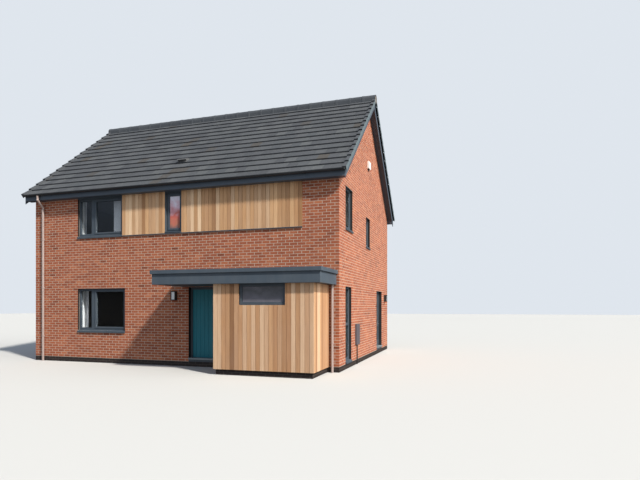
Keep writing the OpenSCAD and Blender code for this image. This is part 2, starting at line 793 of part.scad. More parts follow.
// Window frame set back from the wall's outer face, with its casement
module window_frame(w, set_back) {
    ls = lights(w);
    translate([w[0], 0, w[1]]) {
        run_y(set_back, set_back + frame_d)
            difference() {
                square([w[2], w[3]]);
                for (i = [0:len(ls) - 1]) light_hole(ls[i], opens(w, i) ? sash_w : 0);
            }
        for (i = [0:len(ls) - 1])
            if (opens(w, i))
                run_y(set_back - sash_out, set_back)
                    difference() {
                        light_hole(ls[i], -sash_out);
                        light_hole(ls[i], sash_w);
                    }
    }
}

// Sealed glass units that fill a window's lights
module window_panes(w, set_back) {
    ls = lights(w);
    translate([w[0], 0, w[1]])
        for (i = [0:len(ls) - 1])
            run_y(set_back + (frame_d - glass_t) / 2, set_back + (frame_d + glass_t) / 2)
                light_hole(ls[i], opens(w, i) ? sash_w : 0);
}

module front_window_frames() color(ANTHRACITE) on_front() {
    for (w = front_windows) window_frame(w, reveal);
    window_frame(porch_window, clad_t - porch_out);
}

module front_window_glass() color(GLASS) on_front() {
    for (w = front_windows) window_panes(w, reveal);
    window_panes(porch_window, clad_t - porch_out);
}

module gable_window_frames() color(ANTHRACITE) {
    on_right() for (w = right_windows) window_frame(w, reveal);
    on_left() for (w = left_windows) window_frame(w, reveal);
}

module gable_window_glass() color(GLASS) {
    on_right() for (w = right_windows) window_panes(w, reveal);
    on_left() for (w = left_windows) window_panes(w, reveal);
}

module rear_window_frames() color(ANTHRACITE) on_rear()
    for (w = rear_windows) window_frame(w, reveal);

module rear_window_glass() color(GLASS) on_rear()
    for (w = rear_windows) window_panes(w, reveal);

// Sill that fills the foot of a window's hole and weathers outwards over the wall's face
module sill(w)
    translate([w[0], 0, w[1] - w[6]])
        run_x(0, w[2])
            polygon([
                [-sill_out, 0], [wall_t, 0], [wall_t, w[6]], [reveal, w[6]],
                [-sill_out, w[6] * 0.7]
            ]);

module window_sills() color(ANTHRACITE) {
    on_front() for (w = front_windows) sill(w);
    on_right() for (w = right_windows) sill(w);
    on_left() for (w = left_windows) sill(w);
    on_rear() for (w = rear_windows) sill(w);
}

// Door frame in its opening: jambs and head with a stop in front of the leaf,
// and the fixed barrels of its hinges
module door_frame() {
    jamb_z = threshold_z;
    opening_h = door_head_z - jamb_z;
    translate([0, 0, jamb_z]) {
        run_y(door_reveal, door_reveal + frame_d)
            difference() {
                square([door_w, opening_h]);
                translate([door_frame_w, -CUT])
                    square([door_w - 2 * door_frame_w, opening_h - door_frame_w + CUT]);
            }
        run_y(door_reveal, door_reveal + stop_t)
            difference() {
                square([door_w, opening_h]);
                translate([door_frame_w + stop_w, -CUT])
                    square([
                        door_w - 2 * door_frame_w - 2 * stop_w,
                        opening_h - door_frame_w - stop_w + CUT
                    ]);
            }
    }
    for (z = hinge_levels())
        for (end = [-barrel_l * 1.5, barrel_l / 2 + barrel_gap])
            translate([0, 0, z + end]) hinge_part(-1, barrel_l - barrel_gap);
}

function hinge_levels() = [leaf_z + 200, leaf_z + leaf_h / 2, leaf_z + leaf_h - 200];

// One barrel with its flap, lying on the frame (side -1) or on the leaf (side 1)
module hinge_part(side, length) {
    flap = 3;
    axis_y = door_reveal + frame_d + barrel_r;
    translate([hinge_x(), axis_y, 0]) cylinder(r = barrel_r, h = length);
    translate([side < 0 ? hinge_x() - barrel_l : hinge_x(), axis_y - barrel_r, 0])
        cube([barrel_l, flap, length]);
}

function hinge_x() = door_frame_w + door_gap / 2;

// The moving barrels of a door's hinges
module leaf_hinges()
    for (z = hinge_levels()) translate([0, 0, z - barrel_l / 2]) hinge_part(1, barrel_l);

// Lever handle and plate on both faces of a leaf
module door_handle() {
    plate = [36, 8, 210];
    x = leaf_x + leaf_w - 55;
    z = threshold_z + handle_up;
    lever_l = 120;
    lever_r = 9;
    neck = 45;
    for (face = [0, 1]) {
        out = face == 0 ? -1 : 1;
        y = leaf_y + face * leaf_t;
        translate([x - plate[0] / 2, face == 0 ? y - plate[1] : y, z - plate[2] / 2]) cube(plate);
        translate([x, y, z]) rotate([-90 * out, 0, 0]) cylinder(r = lever_r, h = neck);
        translate([x + lever_r, y + out * (neck - lever_r), z])
            rotate([0, -90, 0]) cylinder(r = lever_r - 1, h = lever_l);
    }
}

module front_door() color(TEAL) on_front() translate([front_door_x, 0, 0]) {
    groove_w = 8;
    groove_d = 5;
    boards = 7;
    board_w = leaf_w / boards;
    difference() {
        translate([leaf_x, leaf_y, leaf_z]) cube([leaf_w, leaf_t, leaf_h]);
        for (i = [1:boards - 1])
            translate([leaf_x + i * board_w - groove_w / 2, leaf_y - CUT, leaf_z - CUT])
                cube([groove_w, groove_d + CUT, leaf_h + 2 * CUT]);
    }
    leaf_hinges();
}

module front_door_handle() color(STEEL) on_front() translate([front_door_x, 0, 0]) door_handle();

// Clear opening of the side door's glazed panel
module side_door_panel()
    translate([leaf_x + stile_w, leaf_z + bottom_rail_h])
        square([leaf_w - 2 * stile_w, leaf_h - bottom_rail_h - stile_w]);

module side_door() color(ANTHRACITE) on_right() translate([side_door_inset, 0, 0]) {
    run_y(leaf_y, leaf_y + leaf_t)
        difference() {
            translate([leaf_x, leaf_z]) square([leaf_w, leaf_h]);
            side_door_panel();
        }
    leaf_hinges();
}

module side_door_glass() color(GLASS) on_right() translate([side_door_inset, 0, 0])
    run_y(leaf_y + (leaf_t - glass_t) / 2, leaf_y + (leaf_t + glass_t) / 2) side_door_panel();

module side_door_handle() color(STEEL) on_right() translate([side_door_inset, 0, 0]) door_handle();

module door_frames() color(ANTHRACITE) {
    on_front() translate([front_door_x, 0, 0]) door_frame();
    on_right() translate([side_door_inset, 0, 0]) door_frame();
}

module threshold()
    translate([0, -sill_out, threshold_z - threshold_t])
        cube([door_w, sill_out + wall_t, threshold_t]);

module door_thresholds() color(STEEL) {
    on_front() translate([front_door_x, 0, 0]) threshold();
    on_right() translate([side_door_inset, 0, 0]) threshold();
}

// Pole across the inside of a window, on two brackets
module curtain_pole(w) {
    past = 120;
    z = w[1] + w[3] + pole_up;
    translate([w[0] - past, wall_t + pole_off, z])
        rotate([0, 90, 0]) cylinder(r = pole_r, h = w[2] + 2 * past);
    for (x = [w[0] - past / 2, w[0] + w[2] + past / 2])
        translate([x, wall_t, z]) rotate([-90, 0, 0]) cylinder(r = pole_r * 0.7, h = pole_off);
}

module curtain_poles() color(STEEL) on_front() {
    curtain_pole(lower_wide);
    curtain_pole(upper_wide);
}

// Gathered curtain under the pole, at a distance along the wall
module curtain(w, x) {
    top = w[1] + w[3] + pole_up - pole_r - barrel_gap;
    bottom = w[1] - curtain_below;
    translate([x, wall_t + pole_off - curtain_d / 2, bottom]) cube([curtain_w, curtain_d, top - bottom]);
}

module curtains() color(CLOTH) on_front() {
    curtain(lower_wide, wide_inset - frame_w);
    curtain(upper_wide, wide_inset - frame_w);
    curtain(upper_wide, wide_inset + upper_w + frame_w - curtain_w);
}

module meter_box() color(STEEL) on_right()
    translate([meter_inset, -meter_d, meter_z]) cube([meter_w, meter_d, meter_h]);

module meter_pipe() color(ANTHRACITE) on_right()
    translate([meter_inset + meter_w / 2, -meter_pipe_r, 0]) cylinder(r = meter_pipe_r, h = meter_z);

module wall_light() {
    rim = 22;
    difference() {
        translate([0, -light_d, 0]) cube([light_w, light_d, light_h]);
        translate([rim, -light_d - CUT, rim])
            cube([light_w - 2 * rim, light_d - rim + CUT, light_h - 2 * rim]);
    }
}

module light_lens() {
    rim = 22;
    shade = 12;
    translate([rim, -light_d + shade, rim])
        cube([light_w - 2 * rim, light_d - rim - shade, light_h - 2 * rim]);
}

module at_lights() {
    on_front() translate([front_door_x - front_light_gap - light_w, 0, light_z]) children();
    on_right() translate([side_light_inset, 0, light_z]) children();
}

module wall_lights() color(ANTHRACITE) at_lights() wall_light();

module light_lenses() color(CLOTH) at_lights() light_lens();

module alarm_box() color(PIPE_WHITE) on_right() translate([alarm_inset, -alarm_d, alarm_z])
    cube([alarm_w, alarm_d, alarm_h]);

plinth();
plinth_sides();
porch_plinth();
ground_floor();
first_floor();
loft_ceiling();
front_wall_left();
front_wall_behind_boards();
front_wall_over_door();
front_wall_right();
rear_wall();
left_gable_wall();
right_gable_front();
right_gable_over_door();
right_gable_rear();
porch_front_wall();
porch_side_walls();
porch_cladding();
upper_cladding();
cladding_drip();
canopy_roof();
canopy_fascia();
front_roof();
rear_roof();
front_tiles();
rear_tiles();
ridge_tiles();
verge_caps();
fascias();
bargeboards();
eaves_soffits();
verge_soffits();
gutters();
downpipes();
roof_vent();
front_window_frames();
gable_window_frames();
rear_window_frames();
front_window_glass();
gable_window_glass();
rear_window_glass();
window_sills();
front_door();
front_door_handle();
side_door();
side_door_glass();
side_door_handle();
door_frames();
door_thresholds();
curtain_poles();
curtains();
meter_box();
meter_pipe();
wall_lights();
light_lenses();
alarm_box();
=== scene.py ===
"""Looks of the detached house: brickwork, roof covering, boards, joinery, fittings and finishes.

Everything is in metres in the frame of the construction model: the front faces -Y, the ground is z = 0.
"""

import json
import logging
import math
import random
from dataclasses import dataclass, field
from enum import Enum
from typing import Callable, Iterator, Optional, Sequence, Union

import bmesh
import bpy
from bmesh.types import BMEdge, BMesh, BMVert
from bpy.types import Material, Mesh, Node, NodeSocket, NodeTree, Object
from mathutils import Euler, Matrix, Vector

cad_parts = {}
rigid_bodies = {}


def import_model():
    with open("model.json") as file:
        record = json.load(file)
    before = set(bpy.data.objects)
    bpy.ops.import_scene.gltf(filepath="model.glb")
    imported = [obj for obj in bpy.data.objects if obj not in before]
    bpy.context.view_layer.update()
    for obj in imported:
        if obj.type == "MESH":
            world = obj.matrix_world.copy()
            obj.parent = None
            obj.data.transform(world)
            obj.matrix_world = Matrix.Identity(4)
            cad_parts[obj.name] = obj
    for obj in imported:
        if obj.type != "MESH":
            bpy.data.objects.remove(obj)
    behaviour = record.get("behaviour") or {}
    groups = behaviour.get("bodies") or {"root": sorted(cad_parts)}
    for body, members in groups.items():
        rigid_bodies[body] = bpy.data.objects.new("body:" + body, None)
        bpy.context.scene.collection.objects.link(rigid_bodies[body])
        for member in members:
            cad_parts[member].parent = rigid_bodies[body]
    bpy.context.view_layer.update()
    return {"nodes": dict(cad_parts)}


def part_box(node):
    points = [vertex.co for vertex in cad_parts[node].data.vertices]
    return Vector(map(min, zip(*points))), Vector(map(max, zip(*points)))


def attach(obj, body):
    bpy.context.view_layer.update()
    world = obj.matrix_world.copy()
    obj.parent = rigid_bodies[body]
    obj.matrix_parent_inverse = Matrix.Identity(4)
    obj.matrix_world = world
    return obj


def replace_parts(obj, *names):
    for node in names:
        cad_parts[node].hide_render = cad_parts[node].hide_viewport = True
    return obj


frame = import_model()
LOG = logging.getLogger("house")

# Body that every piece made here rides on
HOUSE = "house"
# Distance within which two corners are one
SEAM = 1e-5
# Distance within which a corner lies on a plane
NEAR = 1e-3
# Distance in front of the front wall past which a pane is the porch's
PORCH_REACH = 0.2
# Range that most values of a noise pattern keep to
USUAL = (0.3, 0.7)

Color = tuple[float, float, float]
Shades = tuple[Color, ...]
Span = tuple[float, float]
# A value or a colour, or the socket that gives it
Value = Union[float, NodeSocket]
Tint = Union[Color, NodeSocket]


def srgb(red: int, green: int, blue: int) -> Color:
    """Linear colour of a screen colour whose parts run from 0 to 255."""
    return tuple(((part / 255 + 0.055) / 1.055) ** 2.4 for part in (red, green, blue))


@dataclass(frozen=True)
class Box:
    """A box with its sides along the axes of its space."""

    lo: Vector
    hi: Vector

    @classmethod
    def of(cls, x: Span, y: Span, z: Span) -> "Box":
        """The box between two places along each axis."""
        return cls(*(Vector(corner) for corner in zip(x, y, z)))

    @property
    def middle(self) -> Vector:
        """Centre of the box."""
        return (self.lo + self.hi) / 2

    @property
    def size(self) -> Vector:
        """Lengths of the box's sides."""
        return self.hi - self.lo

    def seen_from(self, face: "WallFace") -> "Box":
        """The same box along a wall face's own axes."""
        a, b = face.to_local @ self.lo, face.to_local @ self.hi
        return Box(Vector(map(min, a, b)), Vector(map(max, a, b)))


def solids(*nodes: str) -> list[Box]:
    """Boxes of the separate solids of construction nodes.

    Args:
        *nodes: Names of the nodes.

    Returns:
        One box for each solid, node by node, from left to right and upwards.
    """
    found = []
    for node in nodes:
        bm = bmesh.new()
        bm.from_mesh(frame["nodes"][node].data)
        bmesh.ops.remove_doubles(bm, verts=bm.verts, dist=SEAM)
        left, boxes = set(bm.verts), []
        while left:
            reached, waiting = [], [left.pop()]
            while waiting:
                vert = waiting.pop()
                reached.append(vert.co)
                near = {e.other_vert(vert) for e in vert.link_edges} & left
                left -= near
                waiting.extend(near)
            boxes.append(Box(*(Vector(map(end, zip(*reached))) for end in (min, max))))
        bm.free()
        found += sorted(boxes, key=lambda box: tuple(round(c, 3) for c in box.lo))
    return found


@dataclass(frozen=True)
class WallFace:
    """Outside face of a wall: x runs to the right seen from outside, y into the building, z up."""

    name: str
    corner: Vector
    turn: float
    length: float = 0.0

    @property
    def to_world(self) -> Matrix:
        """Matrix from the face's space to the house's."""
        return Matrix.Translation(self.corner) @ Matrix.Rotation(self.turn, 4, "Z")

    @property
    def to_local(self) -> Matrix:
        """Matrix from the house's space to the face's."""
        return self.to_world.inverted()

    @property
    def is_gable(self) -> bool:
        """True for a wall under the end of the roof."""
        return abs(math.sin(self.turn)) > 0.5

    def at(self, x: float, y: float, z: float) -> Vector:
        """The place in the house of a point in the face's space."""
        return self.to_world @ Vector((x, y, z))


class Shell:
    """Main sizes of the house, read from the construction model."""

    def __init__(self) -> None:
        """Reads the walls, the eaves and the front slope of the roof."""
        self.half_w, self.half_d, self.plinth_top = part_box("plinth")[1]
        w, d = self.half_w, self.half_d
        self.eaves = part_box("eaves_soffits")[0].z
        deck_lo, deck_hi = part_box("front_roof")
        verts = frame["nodes"]["front_roof"].data.vertices
        low_edge = max(v.co.z for v in verts if abs(v.co.y - deck_lo.y) < NEAR)
        self.apex = deck_hi.z
        self.pitch = math.atan2(self.apex - low_edge, -deck_lo.y)
        self.front = WallFace("front", Vector((-w, -d, 0)), 0, 2 * w)
        self.right = WallFace("right", Vector((w, -d, 0)), math.pi / 2, 2 * d)
        rear = WallFace("rear", Vector((w, d, 0)), math.pi, 2 * w)
        left = WallFace("left", Vector((-w, d, 0)), -math.pi / 2, 2 * d)
        self.faces = (self.front, self.right, rear, left)

    def in_porch(self, box: Box) -> bool:
        """True for a solid that stands well in front of the front wall."""
        return box.lo.y < -self.half_d - PORCH_REACH


SHELL = Shell()


@dataclass(frozen=True)
class Layer:
    """A colour laid over others: its part grows from 0 to share as the pattern goes from low to high."""

    pattern: NodeSocket
    color: Tint
    low: float = 0.0
    high: float = 1.0
    share: float = 1.0
    mode: str = "MIX"


class Nodes:
    """Adds nodes to one node tree and joins them."""

    def __init__(self, tree: NodeTree, place: str = "Object") -> None:
        """Keeps the tree that the nodes go into, and its coordinates unless it is a group."""
        self.tree = tree
        self.place = self.add("ShaderNodeTexCoord").outputs[place] if place else None

    def add(self, kind: str, inputs: Optional[dict] = None, **settings: object) -> Node:
        """Adds one node.

        Args:
            kind: Blender's name of the node's type.
            inputs: Sockets by name or number, each with a value or with a socket to join.
            **settings: The node's own settings.

        Returns:
            The new node.
        """
        node = self.tree.nodes.new(kind)
        for name, value in settings.items():
            setattr(node, name, value)
        for name, value in (inputs or {}).items():
            if isinstance(value, NodeSocket):
                self.tree.links.new(value, node.inputs[name])
            elif node.inputs[name].type == "RGBA":
                node.inputs[name].default_value = (*value, 1)
            else:
                node.inputs[name].default_value = value
        return node

    def maths(self, operation: str, *values: Value) -> NodeSocket:
        """One sum of values and sockets."""
        return self.add("ShaderNodeMath", dict(enumerate(values)), operation=operation).outputs[0]

    def noise(self, scale: Value, detail: float = 3.0, roughness: float = 0.55,
              stretch: Optional[Color] = None) -> NodeSocket:
        """Noise over the tree's coordinates.

        Args:
            scale: Its closeness, a value or a socket.
            detail: Number of its finer steps.
            roughness: Weight of its finer steps.
            stretch: Factors on the coordinates along the axes.

        Returns:
            The socket of its value.
        """
        vector = self.scaled(stretch) if stretch else self.place
        inputs = {"Vector": vector, "Scale": scale, "Detail": detail, "Roughness": roughness}
        return self.add("ShaderNodeTexNoise", inputs).outputs["Fac"]

    def scaled(self, factors: Color) -> NodeSocket:
        """The tree's coordinates stretched along the axes."""
        return self.add("ShaderNodeMapping", {"Vector": self.place, "Scale": factors}).outputs["Vector"]

    def spread(self, value: Value, lo: Value, hi: Value, to_lo: float = 0.0,
               to_hi: float = 1.0) -> NodeSocket:
        """Value moved from one range to another, and kept inside it."""
        inputs = {"Value": value, "From Min": lo, "From Max": hi, "To Min": to_lo, "To Max": to_hi}
        return self.add("ShaderNodeMapRange", inputs).outputs["Result"]

    def ramp(self, value: NodeSocket, shades: Shades) -> NodeSocket:
        """Colours laid out evenly from value 0 to value 1.

        Args:
            value: Socket that picks the colour.
            shades: Two colours or more, from low to high.

        Returns:
            The colour's socket.
        """
        node = self.add("ShaderNodeValToRGB", {"Fac": value})
        stops = node.color_ramp.elements
        while len(stops) < len(shades):
            stops.new(0.5)
        for i, shade in enumerate(shades):
            stops[i].position = i / (len(shades) - 1)
            stops[i].color = (*shade, 1)
        return node.outputs["Color"]

    def blend(self, share: Value, under: Tint, over: Tint, mode: str = "MIX") -> NodeSocket:
        """Two colours mixed.

        Args:
            share: Share of the upper colour, a value or a socket.
            under: Lower colour or its socket.
            over: Upper colour or its socket.
            mode: Blender's name of the way they mix.

        Returns:
            The mixed colour's socket.
        """
        inputs = {0: share, 6: under, 7: over}
        return self.add("ShaderNodeMix", inputs, data_type="RGBA", blend_type=mode).outputs[2]

    def layered(self, color: Tint, *layers: Layer) -> NodeSocket:
        """A colour under layers.

        Args:
            color: Lowest colour or its socket.
            *layers: The layers, from the lowest up.

        Returns:
            The socket of the colour that shows.
        """
        for layer in layers:
            share = self.spread(layer.pattern, layer.low, layer.high, 0.0, layer.share)
            color = self.blend(share, color, layer.color, layer.mode)
        return color

    def bump(self, height: NodeSocket, distance: float) -> NodeSocket:
        """Normal of a height in metres."""
        return self.add("ShaderNodeBump", {"Height": height, "Distance": distance}).outputs["Normal"]

    def attribute(self, name: str) -> NodeSocket:
        """Value of a mesh attribute."""
        return self.add("ShaderNodeAttribute", attribute_name=name).outputs["Fac"]

    def axis(self, letter: str) -> NodeSocket:
        """One of the tree's coordinates."""
        return self.add("ShaderNodeSeparateXYZ", {"Vector": self.place}).outputs[letter]

    def beyond(self, letter: str, limit: float) -> NodeSocket:
        """1 past a distance from the middle of the house along an axis, and 0 up to there."""
        return self.maths("GREATER_THAN", self.maths("ABSOLUTE", self.axis(letter)), limit)

    def use(self, effect: "Effect", *values: Value) -> Sequence[NodeSocket]:
        """Outputs of a shared effect over the tree's coordinates, from its inputs' values in their order."""
        inputs = {"Vector": self.place, **dict(zip(effect.inputs, values))}
        return self.add("ShaderNodeGroup", inputs, node_tree=effect.tree()).outputs[:]

    def weathering(self, scale: float, spread: float) -> NodeSocket:
        """Mask of broad patches, by their number to a metre and the share of the noise that they span."""
        return self.use(WEATHERING, scale, spread)[0]

    def surface(self, color: Tint, rough: NodeSocket, height: NodeSocket, depth: float,
                **others: float) -> NodeSocket:
        """A Principled surface.

        Args:
            color: Its colour.
            rough: Its roughness.
            height: Pattern of its relief.
            depth: Depth of its relief.
            **others: More of its inputs.

        Returns:
            The surface's socket.
        """
        inputs = {"Base Color": color, "Roughness": rough, "Normal": self.bump(height, depth), **others}
        return self.add("ShaderNodeBsdfPrincipled", inputs).outputs["BSDF"]


@dataclass(frozen=True)
class Effect:
    """A node group that several finishes share. Its fill turns the group's inputs into its outputs."""

    name: str
    inputs: tuple[str, ...]
    outputs: tuple[str, ...]
    fill: Callable[[Nodes, dict[str, NodeSocket]], Sequence[NodeSocket]]

    def tree(self) -> NodeTree:
        """Makes the group the first time that a finish uses it.

        Returns:
            The group.
        """
        made = bpy.data.node_groups.get(self.name)
        if made:
            return made
        made = bpy.data.node_groups.new(self.name, "ShaderNodeTree")
        made.interface.new_socket("Vector", in_out="INPUT", socket_type="NodeSocketVector")
        for way, names in (("INPUT", self.inputs), ("OUTPUT", self.outputs)):
            for name in names:
                made.interface.new_socket(name, in_out=way, socket_type="NodeSocketFloat")
        nodes = Nodes(made, place="")
        given = nodes.add("NodeGroupInput").outputs
        nodes.place = given["Vector"]
        nodes.add("NodeGroupOutput", dict(zip(self.outputs, self.fill(nodes, given))))
        return made


def fill_weathering(nodes: Nodes, given: dict[str, NodeSocket]) -> Sequence[NodeSocket]:
    """Broad patches with runs that hang down from them.

    Args:
        nodes: Nodes of the group.
        given: Its inputs: patches to a metre, and half of the noise's range that the mask spans.

    Returns:
        Socket of the mask.
    """
    patches = nodes.noise(given["Scale"], 5.0, 0.6)
    runs = nodes.noise(2.0, 4.0, 0.6, stretch=(5.0, 5.0, 0.45))
    both = nodes.maths("MULTIPLY_ADD", patches, 0.6, nodes.maths("MULTIPLY", runs, 0.4))
    low, high = (nodes.maths(way, 0.5, given["Spread"]) for way in ("SUBTRACT", "ADD"))
    return [nodes.spread(both, low, high)]


def fill_speckle(nodes: Nodes, given: dict[str, NodeSocket]) -> Sequence[NodeSocket]:
    """Fine grit with scattered specks.

    Args:
        nodes: Nodes of the group.
        given: Its input: grains to a metre.

    Returns:
        Sockets of the grit and of the specks.
    """
    grit = nodes.noise(given["Scale"], 3.0, 0.65)
    coarse = nodes.maths("MULTIPLY", given["Scale"], 0.45)
    cells = nodes.add("ShaderNodeTexVoronoi", {"Vector": nodes.place, "Scale": coarse})
    return [grit, nodes.spread(cells.outputs["Distance"], 0.12, 0.3, 1.0, 0.0)]


def fill_grain(nodes: Nodes, given: dict[str, NodeSocket]) -> Sequence[NodeSocket]:
    """Upright timber grain that starts at a different place on each board.

    Args:
        nodes: Nodes of the group.
        given: Its inputs: a value that differs from board to board, and a factor on the closeness.

    Returns:
        Sockets of the grain and of the pores.
    """
    across, up = (nodes.maths("MULTIPLY", given["Board"], step) for step in (37.0, 71.0))
    start = nodes.add("ShaderNodeCombineXYZ", {"X": across, "Z": up}).outputs["Vector"]
    moved = nodes.add("ShaderNodeVectorMath", {0: nodes.place, 1: start}, operation="ADD").outputs[0]
    sizes = {0: moved, "Scale": given["Fineness"]}
    nodes.place = nodes.add("ShaderNodeVectorMath", sizes, operation="SCALE").outputs[0]
    grain = nodes.add("ShaderNodeTexNoise", {
        "Vector": nodes.scaled((34.0, 34.0, 1.3)), "Scale": 1.0, "Detail": 5.0, "Distortion": 0.6,
    }).outputs["Fac"]
    return [grain, nodes.noise(1.0, 2.0, 0.5, stretch=(420.0, 420.0, 9.0))]


WEATHERING = Effect("weathering", ("Scale", "Spread"), ("Mask",), fill_weathering)
SPECKLE = Effect("speckle", ("Scale",), ("Grit", "Specks"), fill_speckle)
GRAIN = Effect("timber_grain", ("Board", "Fineness"), ("Grain", "Pores"), fill_grain)


@dataclass(frozen=True)
class Finish:
    """A surface finish: subclasses lay out its nodes."""

    name: str

    def material(self) -> Material:
        """Makes the finish's material the first time that it is asked for.

        Returns:
            The material.
        """
        name = f"{self.name}_finish"
        made = bpy.data.materials.get(name)
        if not made:
            made = bpy.data.materials.new(name)
            made.use_nodes = True
            made.node_tree.nodes.clear()
            nodes = Nodes(made.node_tree)
            nodes.add("ShaderNodeOutputMaterial", {"Surface": self.lay_out(nodes)})
        return made

    def lay_out(self, nodes: Nodes) -> NodeSocket:
        """Makes the finish's nodes.

        Args:
            nodes: Nodes of the new material.

        Returns:
            The surface's socket.
        """
        raise NotImplementedError


@dataclass(frozen=True)
class BrickFinish(Finish):
    """Fired clay bricks whose colour differs from one to the next."""

    shades: Shades
    grime: Color = (0.1, 0.07, 0.05)
    grime_share: float = 0.35
    roughness: float = 0.9

    def lay_out(self, nodes: Nodes) -> NodeSocket:
        """Makes the finish's nodes.

        Args:
            nodes: Nodes of the new material.

        Returns:
            The surface's socket.
        """
        grit, specks = nodes.use(SPECKLE, 190.0)
        color = nodes.layered(
            nodes.ramp(nodes.attribute("tone"), self.shades),
            Layer(grit, (0.62, 0.55, 0.5), 0.3, 0.75, mode="OVERLAY"),
            Layer(specks, (0.07, 0.04, 0.03), share=0.2),
            Layer(nodes.noise(9.0, 2.0), (0.5, 0.42, 0.42), 0.55, 0.8, 0.4, "MULTIPLY"),
            Layer(nodes.weathering(0.9, 0.3), self.grime, share=self.grime_share, mode="MULTIPLY"),
        )
        rough = nodes.spread(grit, *USUAL, self.roughness - 0.1, self.roughness + 0.06)
        return nodes.surface(color, rough, nodes.maths("MULTIPLY_ADD", nodes.noise(32.0), 1.5, grit), 0.0012)


@dataclass(frozen=True)
class WallFinish(Finish):
    """Mortar on the outside of a wall, plaster on its inside, dark grey as painted shade for the rooms, and
    white paint in the window reveals.
    """

    mortar: Color
    # Dark grey: painted shade that keeps the rooms dark behind the glass
    plaster: Color = (0.17, 0.17, 0.17)
    paint: Color = (0.65, 0.68, 0.72)
    skin: float = 0.13
    wall: float = 0.29

    def lay_out(self, nodes: Nodes) -> NodeSocket:
        """Makes the finish's nodes.

        Args:
            nodes: Nodes of the new material.

        Returns:
            The surface's socket.
        """
        outer_x = nodes.beyond("X", SHELL.half_w - self.skin)
        outer_y = nodes.beyond("Y", SHELL.half_d - self.skin)
        outside = nodes.maths("MAXIMUM", outer_x, outer_y)
        grit, specks = nodes.use(SPECKLE, 240.0)
        bed = nodes.layered(
            self.mortar,
            Layer(grit, (0.75, 0.75, 0.75), *USUAL, mode="MULTIPLY"),
            Layer(specks, (0.16, 0.13, 0.1), share=0.3),
        )
        color = nodes.layered(
            self.plaster,
            Layer(nodes.noise(3.0), (0.22, 0.21, 0.20), *USUAL, share=0.08),
            Layer(nodes.beyond("Y", SHELL.half_d - self.wall), self.paint),
            Layer(outside, bed),
        )
        rough = nodes.spread(grit, *USUAL, 0.82, 0.98)
        return nodes.surface(color, rough, nodes.maths("MULTIPLY", grit, outside), 0.0015)


@dataclass(frozen=True)
class TimberFinish(Finish):
    """Bare softwood boards with their own colour, grain and weathering."""

    shades: Shades
    roughness: float = 0.68
    contrast: float = 0.32

    def lay_out(self, nodes: Nodes) -> NodeSocket:
        """Makes the finish's nodes.

        Args:
            nodes: Nodes of the new material.

        Returns:
            The surface's socket.
        """
        board = nodes.attribute("tone")
        grain, pores = nodes.use(GRAIN, board, 1.0)
        color = nodes.layered(
            nodes.ramp(board, self.shades),
            Layer(grain, (0.42, 0.3, 0.2), 0.35, 0.7, self.contrast, "MULTIPLY"),
            Layer(pores, (0.3, 0.22, 0.16), 0.5, 0.75, 0.2, "MULTIPLY"),
            Layer(nodes.weathering(1.3, 0.28), (0.4, 0.38, 0.36), share=0.15),
        )
        rough = nodes.spread(grain, *USUAL, self.roughness - 0.08, self.roughness + 0.12)
        return nodes.surface(color, rough, nodes.maths("MULTIPLY_ADD", pores, 0.5, grain), 0.0012)


@dataclass(frozen=True)
class TileFinish(Finish):
    """Concrete roof tiles, a few of them brown, with a little lichen."""

    shades: Shades

    def lay_out(self, nodes: Nodes) -> NodeSocket:
        """Makes the finish's nodes.

        Args:
            nodes: Nodes of the new material.

        Returns:
            The surface's socket.
        """
        grit, specks = nodes.use(SPECKLE, 150.0)
        color = nodes.layered(
            nodes.ramp(nodes.attribute("tone"), self.shades),
            Layer(grit, (0.6, 0.6, 0.58), 0.3, 0.75, mode="OVERLAY"),
            Layer(specks, (0.05, 0.05, 0.05), share=0.3),
            Layer(nodes.noise(14.0, 5.0, 0.7), (0.32, 0.31, 0.26), 0.6, 0.72, 0.35),
            Layer(nodes.weathering(0.7, 0.3), (0.35, 0.35, 0.36), share=0.35, mode="MULTIPLY"),
        )
        height = nodes.maths("ADD", grit, nodes.noise(26.0))
        return nodes.surface(color, nodes.spread(grit, *USUAL, 0.68, 0.88), height, 0.0012)


@dataclass(frozen=True)
class PaintFinish(Finish):
    """Smooth factory paint, foil or plastic with slight dust and orange peel."""

    color: Color
    dust: Color = (0.3, 0.28, 0.25)
    dust_share: float = 0.12
    roughness: float = 0.42

    def lay_out(self, nodes: Nodes) -> NodeSocket:
        """Makes the finish's nodes.

        Args:
            nodes: Nodes of the new material.

        Returns:
            The surface's socket.
        """
        dirt, grit = nodes.weathering(1.6, 0.22), nodes.use(SPECKLE, 420.0)[0]
        lighter = tuple(min(1.0, 1.5 * part + 0.006) for part in self.color)
        color = nodes.layered(
            self.color,
            Layer(nodes.noise(2.2), lighter, *USUAL, share=0.25),
            Layer(dirt, self.dust, share=self.dust_share),
        )
        wear = nodes.maths("MULTIPLY_ADD", dirt, 0.6, nodes.maths("MULTIPLY", grit, 0.4))
        rough = nodes.spread(wear, 0.2, 0.8, self.roughness - 0.06, self.roughness + 0.16)
        return nodes.surface(color, rough, nodes.noise(260.0, 2.0), 0.0003)


@dataclass(frozen=True)
class VergeFinish(Finish):
    """Verge caps: tops like the tiles, and outer sides made paler as a painted highlight."""

    top: Color
    side: Color
    skin: float = 0.002

    def lay_out(self, nodes: Nodes) -> NodeSocket:
        """Makes the finish's nodes.

        Args:
            nodes: Nodes of the new material.

        Returns:
            The surface's socket.
        """
        grit, specks = nodes.use(SPECKLE, 160.0)
        color = nodes.layered(
            self.top,
            Layer(grit, (0.6, 0.6, 0.58), 0.3, 0.75, mode="OVERLAY"),
            Layer(specks, (0.05, 0.05, 0.05), share=0.25),
            # Outer side faces take the paler colour: painted highlight
            Layer(nodes.beyond("X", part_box("verge_caps")[1].x - self.skin), self.side),
        )
        return nodes.surface(color, nodes.spread(grit, *USUAL, 0.5, 0.75), grit, 0.0008)


